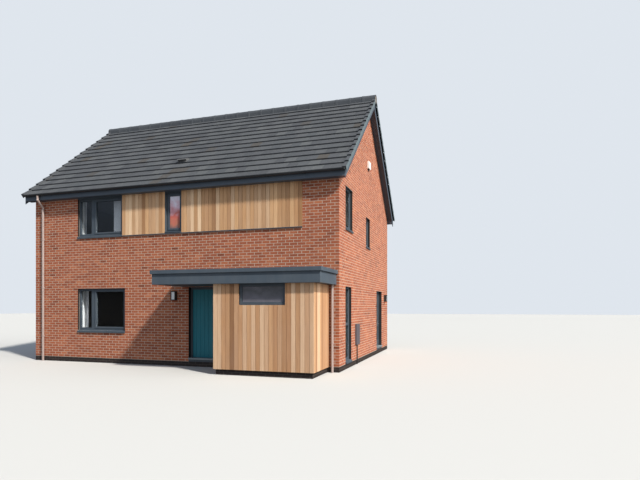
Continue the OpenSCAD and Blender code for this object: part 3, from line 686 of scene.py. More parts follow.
@dataclass(frozen=True)
class DoorFinish(Finish):
    """Painted timber-effect door skin with a faint upright grain."""

    color: Color
    roughness: float = 0.4

    def lay_out(self, nodes: Nodes) -> NodeSocket:
        """Makes the finish's nodes.

        Args:
            nodes: Nodes of the new material.

        Returns:
            The surface's socket.
        """
        grain, pores = nodes.use(GRAIN, 0.0, 0.8)
        color = nodes.layered(
            self.color,
            Layer(grain, tuple(1.35 * part + 0.004 for part in self.color), 0.35, 0.7, 0.6),
            Layer(nodes.weathering(2.0, 0.22), (0.25, 0.24, 0.22), share=0.06),
        )
        rough = nodes.spread(grain, *USUAL, self.roughness - 0.06, self.roughness + 0.1)
        return nodes.surface(color, rough, nodes.maths("MULTIPLY_ADD", pores, 0.4, grain), 0.0004)


@dataclass(frozen=True)
class GlassFinish(Finish):
    """Clear glazing that lets light and the view through, with a mirror-like skin."""

    tint: Color = (0.98, 1.0, 1.0)
    let_through: Color = (0.98, 0.99, 0.99)
    index: float = 1.42

    def lay_out(self, nodes: Nodes) -> NodeSocket:
        """Makes the finish's nodes.

        Args:
            nodes: Nodes of the new material.

        Returns:
            The surface's socket.
        """
        rough = nodes.spread(nodes.weathering(2.5, 0.25), 0.0, 1.0, 0.0, 0.03)
        glass = {"IOR": self.index, "Transmission Weight": 1.0}
        pane = nodes.surface(self.tint, rough, nodes.noise(1.4, 1.0), 0.0015, **glass)
        clear = nodes.add("ShaderNodeBsdfTransparent", {"Color": self.let_through}).outputs["BSDF"]
        shadow = nodes.add("ShaderNodeLightPath").outputs["Is Shadow Ray"]
        return nodes.add("ShaderNodeMixShader", {0: shadow, 1: pane, 2: clear}).outputs["Shader"]


@dataclass(frozen=True)
class FrostedFinish(Finish):
    """Patterned glass that keeps the view out, its colours laid out by height."""

    shades: Shades
    low: float = 3.8
    high: float = 5.0

    def lay_out(self, nodes: Nodes) -> NodeSocket:
        """Makes the finish's nodes.

        Args:
            nodes: Nodes of the new material.

        Returns:
            The surface's socket.
        """
        grit = nodes.use(SPECKLE, 60.0)[0]
        wander = nodes.spread(nodes.noise(5.0, 2.0), *USUAL, -0.12, 0.12)
        height = nodes.spread(nodes.axis("Z"), self.low, self.high)
        color = nodes.ramp(nodes.maths("ADD", height, wander), self.shades)
        return nodes.surface(color, nodes.spread(grit, *USUAL, 0.25, 0.45), grit, 0.0012, IOR=1.3)


@dataclass(frozen=True)
class ClothFinish(Finish):
    """Woven curtain cloth."""

    color: Color

    def lay_out(self, nodes: Nodes) -> NodeSocket:
        """Makes the finish's nodes.

        Args:
            nodes: Nodes of the new material.

        Returns:
            The surface's socket.
        """
        threads = (nodes.noise(1.0, 2.0, stretch=way) for way in ((900.0, 900.0, 60.0), (60.0, 60.0, 900.0)))
        weave = nodes.maths("MULTIPLY", *threads)
        color = nodes.layered(
            tuple(0.72 * part for part in self.color),
            Layer(weave, self.color, 0.15, 0.35),
            Layer(nodes.noise(4.0), (0.8, 0.8, 0.8), 0.4, 0.7, 0.15),
        )
        rough = nodes.spread(weave, 0.1, 0.4, 0.8, 0.95)
        return nodes.surface(color, rough, weave, 0.0006, **{"Sheen Weight": 0.2})


@dataclass(frozen=True)
class SteelFinish(Finish):
    """Brushed or galvanized metal."""

    color: Color = (0.6, 0.61, 0.62)
    roughness: float = 0.32

    def lay_out(self, nodes: Nodes) -> NodeSocket:
        """Makes the finish's nodes.

        Args:
            nodes: Nodes of the new material.

        Returns:
            The surface's socket.
        """
        brushed = nodes.noise(1.0, stretch=(30.0, 30.0, 900.0))
        dull = tuple(0.45 * part for part in self.color)
        color = nodes.layered(self.color, Layer(nodes.weathering(3.0, 0.2), dull, share=0.35))
        rough = nodes.spread(brushed, *USUAL, self.roughness - 0.08, self.roughness + 0.16)
        return nodes.surface(color, rough, brushed, 0.0002, Metallic=1.0)


@dataclass(frozen=True)
class LensFinish(Finish):
    """Frosted lamp cover, unlit."""

    color: Color

    def lay_out(self, nodes: Nodes) -> NodeSocket:
        """Makes the finish's nodes.

        Args:
            nodes: Nodes of the new material.

        Returns:
            The surface's socket.
        """
        frost = nodes.noise(320.0)
        color = nodes.layered(self.color, Layer(frost, (0.6, 0.64, 0.66), *USUAL, share=0.25))
        return nodes.surface(color, nodes.spread(frost, *USUAL, 0.25, 0.45), frost, 0.0004)


class Finishes(Enum):
    """Every finish on the house."""

    BRICK = BrickFinish("red_brick", (
        srgb(116, 62, 42), srgb(142, 79, 54), srgb(155, 87, 60), srgb(164, 94, 65), srgb(172, 101, 69),
        srgb(186, 117, 83), srgb(165, 97, 70),
    ))
    ENGINEERING = BrickFinish("engineering_brick", (
        srgb(36, 30, 29), srgb(47, 39, 37), srgb(41, 34, 33), srgb(54, 44, 42),
    ), grime=(0.3, 0.28, 0.25), grime_share=0.25, roughness=0.7)
    WALL = WallFinish("mortar_and_plaster", mortar=srgb(206, 190, 172))
    DARK_MORTAR = WallFinish("dark_mortar", mortar=srgb(84, 76, 70))
    CLADDING = TimberFinish("larch_boards", (
        srgb(170, 122, 76), srgb(207, 160, 112), srgb(230, 185, 135), srgb(202, 152, 104),
        srgb(244, 210, 170), srgb(188, 140, 94),
    ))
    # A darker copy of the upper boards' larch: painted shade on the porch
    PORCH_BOARDS = TimberFinish("porch_larch", (
        srgb(152, 106, 64), srgb(190, 141, 97), srgb(211, 163, 117), srgb(184, 132, 88), srgb(228, 190, 152),
        srgb(172, 124, 82),
    ))
    ROOF_TIMBER = TimberFinish("roof_boarding", 2 * (srgb(92, 76, 60),))
    FLOOR = TimberFinish("floor_finish", 2 * (srgb(54, 49, 45),), contrast=0.3)
    TILE = TileFinish("roof_tile", (
        srgb(76, 73, 70), srgb(68, 71, 76), srgb(74, 77, 82), srgb(81, 84, 88), srgb(71, 75, 80),
        srgb(86, 89, 92),
    ))
    RIDGE = TileFinish("ridge_tile", (srgb(64, 69, 76), srgb(70, 75, 81), srgb(66, 71, 78)))
    # Paler than the tiles: painted highlight on the lit edge of the lowest course
    TILE_EDGE = TileFinish("tile_edge", 2 * (srgb(146, 143, 132),))
    VENT = PaintFinish("roof_vent", srgb(84, 86, 88), roughness=0.6)
    BEDDING = WallFinish("roof_bedding", mortar=srgb(134, 126, 116))
    VERGE = VergeFinish("verge_cap", top=srgb(74, 77, 82), side=srgb(96, 110, 116))
    ROOFLINE = PaintFinish("anthracite_roofline", srgb(70, 83, 97), roughness=0.45)
    GUTTER = PaintFinish("dark_gutter", srgb(36, 41, 48), roughness=0.5)
    CANOPY = PaintFinish("canopy_sheet", srgb(65, 78, 90), roughness=0.5)
    FRAME = PaintFinish("window_frame", srgb(63, 75, 86))
    GASKET = PaintFinish("gasket", srgb(18, 18, 20), dust_share=0.05, roughness=0.65)
    PIPE = PaintFinish(
        "white_pipe", srgb(166, 150, 144), dust=srgb(122, 102, 92), dust_share=0.25, roughness=0.4)
    ALARM = PaintFinish("alarm_white", srgb(246, 246, 240), dust=srgb(190, 184, 168), roughness=0.35)
    METER = PaintFinish("meter_grey", srgb(88, 83, 90), dust=srgb(84, 74, 72), dust_share=0.3, roughness=0.6)
    LAMP = PaintFinish("lamp_black", srgb(28, 29, 31))
    LENS = LensFinish("lamp_lens", (0.88, 0.9, 0.9))
    DOOR = DoorFinish("teal_door", srgb(17, 115, 131))
    GLASS = GlassFinish("window_glass")
    # Painted reflection: the pale blue and lavender at the top paint the sky in the glass; lower down the
    # colours turn red and orange, then grey at the foot
    FROSTED = FrostedFinish("frosted_glass", (
        srgb(104, 100, 108), srgb(184, 118, 98), srgb(206, 110, 98), srgb(226, 180, 194), srgb(240, 236, 252),
        srgb(232, 240, 255),
    ))
    PRIVACY = FrostedFinish("privacy_glass", (
        srgb(98, 100, 106), srgb(112, 112, 122), srgb(92, 94, 98), srgb(118, 116, 126),
    ), low=1.6, high=2.3)
    CLOTH = ClothFinish("curtain_cloth", srgb(240, 244, 252))
    STEEL = SteelFinish("brushed_steel")
    THRESHOLD = PaintFinish("threshold_metal", srgb(120, 128, 132), roughness=0.4)

    def material(self) -> Material:
        """Material of the finish."""
        return self.value.material()


def put_on(shape: Union[BMesh, Mesh], name: str, *finishes: Finishes, slot: Optional[str] = None,
           smooth: Optional[float] = None) -> Object:
    """Turns a shape into a piece that rides on the house.

    Args:
        shape: Shape in the house's frame. A bmesh is freed.
        name: Name of the piece.
        *finishes: Its finishes, in the order of its faces' material numbers.
        slot: Material slot of the record that it takes its finish from; not used.
        smooth: Angle in degrees past which an edge stays sharp, or None for flat faces.

    Returns:
        The new object.
    """
    mesh = shape
    if isinstance(shape, BMesh):
        mesh = bpy.data.meshes.new(name)
        shape.to_mesh(mesh)
        shape.free()
    obj = bpy.data.objects.new(name, mesh)
    bpy.context.scene.collection.objects.link(obj)
    for finish in finishes:
        mesh.materials.append(finish.material())
    if smooth is not None:
        mesh.shade_smooth()
        mesh.set_sharp_from_angle(angle=math.radians(smooth))
    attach(obj, HOUSE)
    LOG.info("%s: %d faces", name, len(mesh.polygons))
    return obj


def dress(finish: Finishes, *nodes: str, bevel: float = 0.0, segments: int = 2) -> None:
    """Gives construction nodes their finish, and rounds their edges.

    Args:
        finish: The finish.
        *nodes: Names of the nodes.
        bevel: Width of the rounding, or 0 for none.
        segments: Faces across the rounding.
    """
    for node in nodes:
        obj = frame["nodes"][node]
        obj.data.materials.clear()
        obj.data.materials.append(finish.material())
        if bevel:
            obj.modifiers.new("weld", "WELD").merge_threshold = SEAM
            rounded = obj.modifiers.new("rounded", "BEVEL")
            rounded.width = bevel
            rounded.segments = segments
            rounded.limit_method = "ANGLE"
            rounded.angle_limit = math.radians(35)


def block(bm: BMesh, box: Box, matrix: Matrix = Matrix.Identity(4), number: int = 0) -> None:
    """Adds a box.

    Args:
        bm: Shape to add it to.
        box: Its two corners.
        matrix: Where its space lies.
        number: Material number of its faces.
    """
    place = matrix @ Matrix.Translation(box.middle) @ Matrix.Diagonal((*box.size, 1))
    verts = bmesh.ops.create_cube(bm, size=1, matrix=place)["verts"]
    for side in {face for vert in verts for face in vert.link_faces}:
        side.material_index = number


@dataclass
class Copy:
    """One copy of a template: its place, size, turn and tone."""

    at: Vector
    size: tuple[float, float, float]
    turn: tuple[float, float, float]
    tone: float


class Copies:
    """Lays many copies of a template and joins them into one mesh."""

    def __init__(self) -> None:
        """Makes the geometry node tree that all the copies use."""
        self.tree = bpy.data.node_groups.new("copies_on_points", "GeometryNodeTree")
        nodes = Nodes(self.tree, place="")
        sockets = self.tree.interface
        sockets.new_socket("Points", in_out="INPUT", socket_type="NodeSocketGeometry")
        shape_socket = sockets.new_socket("Shape", in_out="INPUT", socket_type="NodeSocketObject")
        self.shape_input = shape_socket.identifier
        sockets.new_socket("Mesh", in_out="OUTPUT", socket_type="NodeSocketGeometry")
        given = nodes.add("NodeGroupInput").outputs
        shape = nodes.add("GeometryNodeObjectInfo", {"Object": given["Shape"]})
        size, turn = (
            nodes.add("GeometryNodeInputNamedAttribute", {"Name": name}, data_type="FLOAT_VECTOR")
            for name in ("size", "turn")
        )
        turned = nodes.add("FunctionNodeEulerToRotation", {0: turn.outputs["Attribute"]})
        laid = nodes.add("GeometryNodeInstanceOnPoints", {
            "Points": given["Points"], "Instance": shape.outputs["Geometry"],
            "Rotation": turned.outputs["Rotation"], "Scale": size.outputs["Attribute"],
        })
        joined = nodes.add("GeometryNodeRealizeInstances", {"Geometry": laid.outputs["Instances"]})
        nodes.add("NodeGroupOutput", {"Mesh": joined.outputs["Geometry"]})

    def lay(self, template: BMesh, copies: Sequence[Copy]) -> Mesh:
        """Joins copies of a template.

        Args:
            template: Shape round its own origin. It is freed.
            copies: Where the copies go.

        Returns:
            One mesh with each copy's tone as an attribute.
        """
        shape_mesh, points = bpy.data.meshes.new("template"), bpy.data.meshes.new("points")
        template.to_mesh(shape_mesh)
        template.free()
        points.from_pydata([copy.at for copy in copies], [], [])
        for name in ("size", "turn"):
            values = [part for copy in copies for part in getattr(copy, name)]
            points.attributes.new(name, "FLOAT_VECTOR", "POINT").data.foreach_set("vector", values)
        tones = points.attributes.new("tone", "FLOAT", "POINT")
        tones.data.foreach_set("value", [copy.tone for copy in copies])
        shape, holder = (bpy.data.objects.new(mesh.name, mesh) for mesh in (shape_mesh, points))
        for obj in (shape, holder):
            bpy.context.scene.collection.objects.link(obj)
        modifier = holder.modifiers.new("copies", "NODES")
        modifier.node_group = self.tree
        modifier[self.shape_input] = shape
        bpy.context.view_layer.update()
        mesh = bpy.data.meshes.new_from_object(holder.evaluated_get(bpy.context.evaluated_depsgraph_get()))
        for name in {"size", "turn"} & set(mesh.attributes.keys()):
            mesh.attributes.remove(mesh.attributes[name])
        bpy.data.batch_remove((shape, holder, shape_mesh, points))
        mesh.materials.clear()
        return mesh


COPIES = Copies()


@dataclass
class Rect:
    """Part of a wall face: from left to right and from bottom to top, with the depth of its reveal."""

    left: float
    right: float
    low: float
    high: float
    depth: float = 0.0

    @classmethod
    def of(cls, box: Box, depth: float = 0.0) -> "Rect":
        """The part of a face that a box in the face's space covers."""
        return cls(box.lo.x, box.hi.x, box.lo.z, box.hi.z, depth)

    @property
    def height(self) -> float:
        """Height of the part."""
        return self.high - self.low


@dataclass
class Brickwork:
    """Stretcher-bond facing bricks on the four walls, the reveals and the plinth."""

    brick_l: float = 0.212
    brick_h: float = 0.066
    bed: float = 0.009
    perpend: float = 0.013
    # How far a brick stands out of the mortar and reaches into it, its worn edge and its play in depth
    proud: float = 0.0018
    sunk: float = 0.002
    arris: float = 0.0016
    waver: float = 0.0006
    # The shortest end brick, the lowest course and cut course, the shortest sliver and part of a course
    least: float = 0.055
    least_h: float = 0.010
    least_cut: float = 0.005
    least_end: float = 0.004
    least_part: float = 0.02
    # How far a hole may reach into a course that stays whole, at most this share of the course
    slack: float = 0.012
    slack_share: float = 0.25
    # Trim in the openings, dark plates that paint the shade on heads, jambs, door feet and up to the soffit;
    # the sill below which one is a door, and the widest gap that trim fills
    flange: float = 0.006
    kick: float = 0.3
    to_soffit: float = 0.15
    # Share of a brick's skin in the reveals
    end_skin: float = 0.8
    # Mean and spread of the tones, the share of odd bricks and the ends of the scale
    middling: Span = (0.56, 0.17)
    odd_share: float = 0.04
    tones: Span = (0.06, 0.99)
    # Where frames stand behind a face, and how near to a face a solid covers its bricks
    frame_depths: Span = (0.02, 0.25)
    touch: float = 0.001
    play: float = 0.003
    deepest: float = 1.0
    # How far an opening inside the boards may stand past their sides and their foot
    clad_side: float = 0.01
    clad_foot: float = 0.1
    dice: random.Random = field(default_factory=lambda: random.Random(11))

    @property
    def course(self) -> float:
        """Height of a course with its joint."""
        return self.brick_h + self.bed

    @property
    def pitch(self) -> float:
        """Length of a brick with its joint."""
        return self.brick_l + self.perpend

    def template(self) -> BMesh:
        """Outer skin of a brick a metre long and high, its face towards -y.

        Returns:
            The template.
        """
        bm = bmesh.new()
        bmesh.ops.create_cube(bm, size=1, matrix=Matrix.Diagonal((1, self.proud + self.sunk, 1, 1)))
        bmesh.ops.delete(bm, geom=[f for f in bm.faces if f.normal.y > 0.5], context="FACES_ONLY")
        front = next(f for f in bm.faces if f.normal.y < -0.5)
        for vert in front.verts:
            vert.co.x *= 1 - 2 * self.arris / self.brick_l
            vert.co.z *= 1 - 2 * self.arris / self.brick_h
        bmesh.ops.translate(bm, verts=bm.verts, vec=(0, (self.sunk - self.proud) / 2, 0))
        return bm

    def tone(self) -> float:
        """Picks the tone of one brick: mostly middling, now and then dark or pale.

        Returns:
            The tone.
        """
        darkest, palest = self.tones
        value = self.dice.gauss(*self.middling)
        if self.dice.random() <= self.odd_share:
            value = self.dice.random()
        return min(palest, max(darkest, value))

    def rows(self, first: int, top: float) -> Iterator[tuple[int, float, float]]:
        """Courses up to a level.

        Args:
            first: Number of the lowest course.
            top: The level, where the highest course is cut.

        Returns:
            Number, lower and upper level of each course, one by one.
        """
        for number in range(first, math.ceil(top / self.course)):
            low, high = number * self.course, min(number * self.course + self.brick_h, top)
            if high - low >= self.least_h:
                yield number, low, high

    def stretch(self, left: float, right: float, shift: float) -> list[list[float]]:
        """Bricks that fill part of a course.

        Args:
            left: Start of the part.
            right: End of the part.
            shift: Place of any joint's right side in the course.

        Returns:
            The left and right end of each brick.
        """
        first, last = math.floor((left - shift) / self.pitch), math.ceil((right - shift) / self.pitch)
        starts = [shift + number * self.pitch for number in range(first, last)]
        cuts = [[max(left, start), min(right, start + self.brick_l)] for start in starts]
        cuts = [cut for cut in cuts if cut[1] - cut[0] > self.least_end]
        if len(cuts) > 1 and cuts[0][1] - cuts[0][0] < self.least:
            cuts.pop(0)
        if len(cuts) > 1 and cuts[-1][1] - cuts[-1][0] < self.least:
            cuts.pop()
        if cuts:
            cuts[0][0], cuts[-1][1] = left, right
        return cuts

    def course_parts(self, band: Rect, holes: Sequence[Rect]) -> list[Span]:
        """What is left of a course between the holes in a wall.

        Args:
            band: The course.
            holes: Parts of the wall with no bricks.

        Returns:
            Left and right end of each part.
        """
        parts = [(band.left, band.right)]
        slack = min(self.slack, self.slack_share * band.height)
        for hole in holes:
            if hole.low < band.high - slack and hole.high > band.low + slack:
                sides = [side for a, b in parts for side in ((a, min(b, hole.left)), (max(a, hole.right), b))]
                parts = [(a, b) for a, b in sides if b - a > self.least_part]
        return parts

    def cut_bands(self, row: Rect, holes: Sequence[Rect]) -> list[Rect]:
        """Low courses of cut bricks over the heads and under the sills that fall inside a course.

        Args:
            row: The course.
            holes: Parts of the wall with no bricks.

        Returns:
            The bands that the cut bricks fill.
        """
        rests = [
            Rect(max(row.left, hole.left), min(row.right, hole.right), low, high)
            for hole in holes if hole.low < row.high - self.slack and hole.high > row.low + self.slack
            for low, high in ((row.low, hole.low), (hole.high, row.high)) if high - low > self.least_cut
        ]
        bands: list[Rect] = []
        for rest in sorted(rests, key=lambda rest: rest.height):
            if rest.right > rest.left:
                bands += [Rect(a, b, rest.low, rest.high) for a, b in self.course_parts(rest, bands)]
        return bands

    def lay_face(self, face: WallFace, area: Rect, holes: Sequence[Rect] = (),
                 shift: float = 0.0) -> list[Copy]:
        """Copies of the brick for part of a wall face.

        Args:
            face: The wall face.
            area: The part.
            holes: Parts of the wall with no bricks.
            shift: Place of a joint's right side in an even course.

        Returns:
            The copies.
        """
        copies = []
        for number, low, high in self.rows(round(area.low / self.course), area.high):
            start = shift - (number + face.is_gable) % 2 * self.pitch / 2
            row = Rect(area.left, area.right, low, high)
            for band in [row, *self.cut_bands(row, holes)]:
                for part in self.course_parts(band, holes):
                    for left, right in self.stretch(*part, start):
                        across = self.dice.uniform(-self.waver, self.waver)
                        at = face.at((left + right) / 2, across, (band.low + band.high) / 2)
                        size = (right - left, 1, band.height)
                        copies.append(Copy(at, size, (0, 0, face.turn), self.tone()))
        return copies

    def whole(self, face: WallFace, low: float, high: float) -> Rect:
        """A face from one end to the other, between two levels."""
        return Rect(-self.proud, face.length + self.proud, low, high)

    def lay_reveals(self, face: WallFace, openings: Sequence[Rect]) -> list[Copy]:
        """Ends of the bricks that show in the sides of a wall's openings.

        Args:
            face: The wall face.
            openings: The openings.

        Returns:
            The copies.
        """
        copies = []
        for hole in openings:
            for _, low, high in self.rows(math.ceil(hole.low / self.course), hole.high):
                for x, turn in ((hole.left, math.pi / 2), (hole.right, -math.pi / 2)):
                    at = face.at(x, hole.depth / 2 - self.proud, (low + high) / 2)
                    size = (hole.depth, self.end_skin, high - low)
                    copies.append(Copy(at, size, (0, 0, face.turn + turn), self.tone()))
        return copies

    def under_eaves(self, face: WallFace, hole: Rect) -> bool:
        """True for an opening whose head is trimmed up to the soffit."""
        return not face.is_gable and 0 < SHELL.eaves - hole.high < self.to_soffit

    def add_shade_trims(self, bm: BMesh, face: WallFace, openings: Sequence[Rect]) -> None:
        """Adds the dark trims at the heads, on the jambs, under the doors and up to the soffit: painted shade
        where these places lie in shadow, the heads also standing for the flanges of steel lintels.

        Args:
            bm: Shape to add them to.
            face: The wall face.
            openings: The wall's openings.
        """
        for hole in openings:
            reveal, skin, wide = (0, hole.depth), (-self.proud, 0), (hole.left, hole.right)
            head = hole.high - self.flange
            block(bm, Box.of(wide, reveal, (head, hole.high)), face.to_world)
            # Near-black jamb plates: painted shade in the reveals
            for x in (hole.left, hole.right - self.flange):
                block(bm, Box.of((x, x + self.flange), reveal, (hole.low, head)), face.to_world, 1)
            if hole.low < self.kick:
                block(bm, Box.of(wide, skin, (SHELL.plinth_top, hole.low)), face.to_world)
            if self.under_eaves(face, hole):
                block(bm, Box.of(wide, skin, (hole.high, SHELL.eaves)), face.to_world)

    @staticmethod
    def cut_to_slope(mesh: Mesh) -> None:
        """Cuts a gable's bricks along the underside of the roof boarding.

        Args:
            mesh: The gable's bricks.
        """
        verge = frame["nodes"]["verge_soffits"].data.vertices
        apex = min(v.co.z for v in verge if abs(v.co.y) < NEAR)
        bm = bmesh.new()
        bm.from_mesh(mesh)
        for side in (-1, 1):
            normal = (0, side * math.sin(SHELL.pitch), math.cos(SHELL.pitch))
            bmesh.ops.bisect_plane(
                bm, geom=bm.verts[:] + bm.edges[:] + bm.faces[:], plane_co=(0, 0, apex), plane_no=normal,
                clear_outer=True, dist=SEAM)
        bm.to_mesh(mesh)
        bm.free()

    def holes_of(self, face: WallFace) -> tuple[list[Rect], list[Rect]]:
        """Openings of a wall and everything that covers its bricks.

        Args:
            face: The wall face.

        Returns:
            The openings, and all the parts with no bricks.
        """
        openings, covered = [], []
        least_depth, most_depth = self.frame_depths
        for box in solids("front_window_frames", "gable_window_frames", "rear_window_frames", "door_frames"):
            local = box.seen_from(face)
            if least_depth < local.lo.y < most_depth and 0 < local.lo.x < face.length:
                openings.append(Rect.of(local, local.lo.y + self.proud))
        for box in solids("window_sills", "door_thresholds", "upper_cladding", "cladding_drip",
                          "porch_cladding", "canopy_roof"):
            local = box.seen_from(face)
            if local.lo.y < self.touch < local.hi.y + self.play and local.hi.y < self.deepest:
                covered.append(Rect.of(local))
        covered += [Rect(h.left, h.right, h.high, SHELL.eaves) for h in openings if self.under_eaves(face, h)]
        covered += [Rect(h.left, h.right, 0, h.low) for h in openings if h.low < self.kick]
        return openings, openings + covered

    def is_clad(self, face: WallFace, hole: Rect) -> bool:
        """Tells an opening inside the upper boards from the others.

        Args:
            face: The wall face.
            hole: The opening.

        Returns:
            True for one inside the boards.
        """
        boards = solids("upper_cladding")[0].seen_from(face)
        across = boards.lo.x - self.clad_side < hole.left and hole.right < boards.hi.x + self.clad_side
        return face is SHELL.front and across and hole.low > boards.lo.z - self.clad_foot

    def build(self) -> None:
        """Makes one piece of bricks for each wall, one for the plinth and the dark trims of the openings,
        which paint their shade.
        """
        flanges = bmesh.new()
        for face in SHELL.faces:
            openings, holes = self.holes_of(face)
            top = SHELL.apex if face.is_gable else SHELL.eaves
            copies = self.lay_face(face, self.whole(face, SHELL.plinth_top, top), holes)
            plain = [hole for hole in openings if not self.is_clad(face, hole)]
            copies += self.lay_reveals(face, plain)
            self.add_shade_trims(flanges, face, plain)
            mesh = COPIES.lay(self.template(), copies)
            if face.is_gable:
                self.cut_to_slope(mesh)
            put_on(mesh, f"{face.name}_bricks", Finishes.BRICK, slot="brick")
        put_on(flanges, "lintel_flanges", Finishes.FRAME, Finishes.GASKET, slot="frame_grey")
        self.build_plinth()
        walls = [
            node for node in frame["nodes"]
            if "_wall" in node and not node.startswith("wall_") or node.startswith("right_gable_")
        ]
        dress(Finishes.WALL, *walls)

    def build_plinth(self) -> None:
        """Makes the dark bricks of the plinth, round the house and the porch."""
        top, copies = SHELL.plinth_top, []
        porch = solids("porch_cladding")[0]
        tuck = solids("porch_side_walls")[0].lo.x - porch.lo.x
        seen = porch.seen_from(SHELL.front)
        for face in SHELL.faces:
            holes = [Rect(seen.lo.x, seen.hi.x, 0, SHELL.eaves)] if face is SHELL.front else []
            copies += self.lay_face(face, self.whole(face, 0, top), holes)
        left, right, out = seen.lo.x + tuck, seen.hi.x - tuck, -seen.lo.y - tuck
        front = WallFace("porch_front", SHELL.front.at(0, -out, 0), 0)
        area = Rect(left - self.proud, right + self.proud, 0, top)
        copies += self.lay_face(front, area, shift=area.left)
        for x, y, turn in ((right, -out, math.pi / 2), (left, 0, -math.pi / 2)):
            side = WallFace("porch_side", SHELL.front.at(x, y, 0), turn, out)
            copies += self.lay_face(side, self.whole(side, 0, top))
        mesh = COPIES.lay(self.template(), copies)
        put_on(mesh, "plinth_bricks", Finishes.ENGINEERING, slot="engineering_brick")
        dress(Finishes.DARK_MORTAR, "plinth", "plinth_sides", "porch_plinth")


@dataclass
class RoofCovering:
    """Flat lapped tiles on both slopes, ridge tiles, and the finish of the verge caps."""

    # Length of a course up the slope, tiles in it, and heights of a tile's two ends over the boarding
    gauge: float = 0.344
    across: int = 34
    tail: float = 0.044
    head: float = 0.008
    # Thickness, side joint, length under the next course, and how far the last tiles end below the ridge
    thick: float = 0.034
    gap: float = 0.004
    lap: float = 0.075
    short: float = 0.012
    # Worn edges at the tail and the sides, and how far a tile lies out of true
    tail_arris: float = 0.005
    side_arris: float = 0.003
    lift: float = 0.0012
    skew: float = 0.002
    tilt: Span = (-0.003, 0.0015)
    # Height, depth and joint of the pale strip under the lowest tiles, a painted highlight for their lit edge
    edge_h: float = 0.032
    edge_d: float = 0.02
    edge_gap: float = 0.001
    # Length, radius, straight leg and wall of a ridge tile, its collar, its play and its mortar's depth
    ridge_l: float = 0.45
    ridge_r: float = 0.135
    ridge_leg: float = 0.106
    ridge_wall: float = 0.012
    collar: float = 0.006
    collar_l: float = 0.07
    roll: float = 0.006
    plug: float = 0.03
    # Share of brown tiles, and the tones of the brown and of the grey ones
    brown_share: float = 0.03
    brown: Span = (0.0, 0.1)
    grey: Span = (0.2, 1.0)
    dice: random.Random = field(default_factory=lambda: random.Random(7))

    def __post_init__(self) -> None:
        """Reads the slope's ends from the construction model."""
        lo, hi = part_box("front_tiles")
        self.left, self.right = lo.x, hi.x
        self.start_y = lo.y + self.tail * math.sin(SHELL.pitch)
        self.start_z = SHELL.apex + self.start_y * math.tan(SHELL.pitch)
        self.slope = -self.start_y / math.cos(SHELL.pitch)
        self.courses = math.ceil(self.slope / self.gauge)

    def point(self, x: float, s: float, t: float, rear: bool = False) -> Vector:
        """A point on a slope.

        Args:
            x: Place along the house.
            s: Distance up the slope from the first tile's edge.
            t: Height above the boarding, square to it.
            rear: True for the rear slope.

        Returns:
            The point.
        """
        y = self.start_y + s * math.cos(SHELL.pitch) - t * math.sin(SHELL.pitch)
        z = self.start_z + s * math.sin(SHELL.pitch) + t * math.cos(SHELL.pitch)
        return Vector((x, -y if rear else y, z))

    def template(self) -> BMesh:
        """A tile a metre wide: its tail's upper edge on the origin, its length along y.

        Returns:
            The template.
        """
        bm = bmesh.new()
        length = self.gauge + self.lap
        block(bm, Box.of((-0.5, 0.5), (0, length), (-self.thick, 0)))
        tail = [e for e in bm.edges if all(v.co.y < SEAM and v.co.z > -SEAM for v in e.verts)]
        bmesh.ops.bevel(bm, geom=tail, offset=self.tail_arris, segments=2, profile=0.5, affect="EDGES",
                         material=-1)
        sides = [e for e in bm.edges if e.calc_length() > 0.3 * length
                 and all(v.co.z > -SEAM and abs(abs(v.co.x) - 0.5) < SEAM for v in e.verts)]
        bmesh.ops.bevel(bm, geom=sides, offset=self.side_arris, segments=1, profile=0.5, affect="EDGES",
                         material=-1)
        buried = [f for f in bm.faces if f.normal.z < -0.9 or f.normal.y > 0.9]
        bmesh.ops.delete(bm, geom=buried, context="FACES_ONLY")
        return bm

    def tone(self) -> float:
        """Tone of one tile: grey, now and then brown."""
        return self.dice.uniform(*(self.brown if self.dice.random() < self.brown_share else self.grey))

    def lay_slope(self, rear: bool) -> list[Copy]:
        """Copies of the tile for a slope.

        Args:
            rear: True for the rear slope.

        Returns:
            The copies.
        """
        copies = []
        width = (self.right - self.left) / self.across
        lean = SHELL.pitch - math.atan((self.tail - self.head) / self.gauge)
        for course in range(self.courses):
            cuts = [self.left + width * (i + course % 2 / 2) for i in range(self.across + 1)]
            cuts = sorted({self.left, self.right, *[c for c in cuts if self.left < c < self.right]})
            for start, end in zip(cuts, cuts[1:]):
                lift = self.dice.uniform(-self.lift, self.lift)
                at = self.point((start + end) / 2, course * self.gauge, self.tail + lift, rear)
                skew = self.dice.uniform(-self.skew, self.skew)
                turn = (lean + self.dice.uniform(*self.tilt), skew, math.pi if rear else 0)
                long = min(1.0, (self.slope - course * self.gauge - self.short) / (self.gauge + self.lap))
                copies.append(Copy(at, (end - start - self.gap, long, 1), turn, self.tone()))
        return copies

    def ridge_template(self) -> BMesh:
        """A ridge tile along x with a thicker collar over the next one's end.

        Returns:
            The template.
        """
        bm = bmesh.new()
        inner = self.ridge_r - self.collar
        profile = [
            (0, self.ridge_r), (self.collar_l, self.ridge_r), (self.collar_l + self.collar, inner),
            (self.ridge_l - self.gap, inner),
        ]
        verts = [bm.verts.new((x, r, 0)) for x, r in profile]
        line = [bm.edges.new(pair) for pair in zip(verts, verts[1:])]
        spun = bmesh.ops.spin(bm, geom=verts + line, cent=(0, 0, 0), axis=(1, 0, 0), angle=math.pi, steps=14)
        for edges in (line, [e for e in spun["geom_last"] if isinstance(e, BMEdge)]):
            made = bmesh.ops.extrude_edge_only(bm, edges=edges)
            low = [v for v in made["geom"] if isinstance(v, BMVert)]
            bmesh.ops.translate(bm, verts=low, vec=(0, 0, -self.ridge_leg))
        bmesh.ops.recalc_face_normals(bm, faces=bm.faces)
        bmesh.ops.solidify(bm, geom=bm.faces[:], thickness=self.ridge_wall)
        bmesh.ops.recalc_face_normals(bm, faces=bm.faces)
        return bm

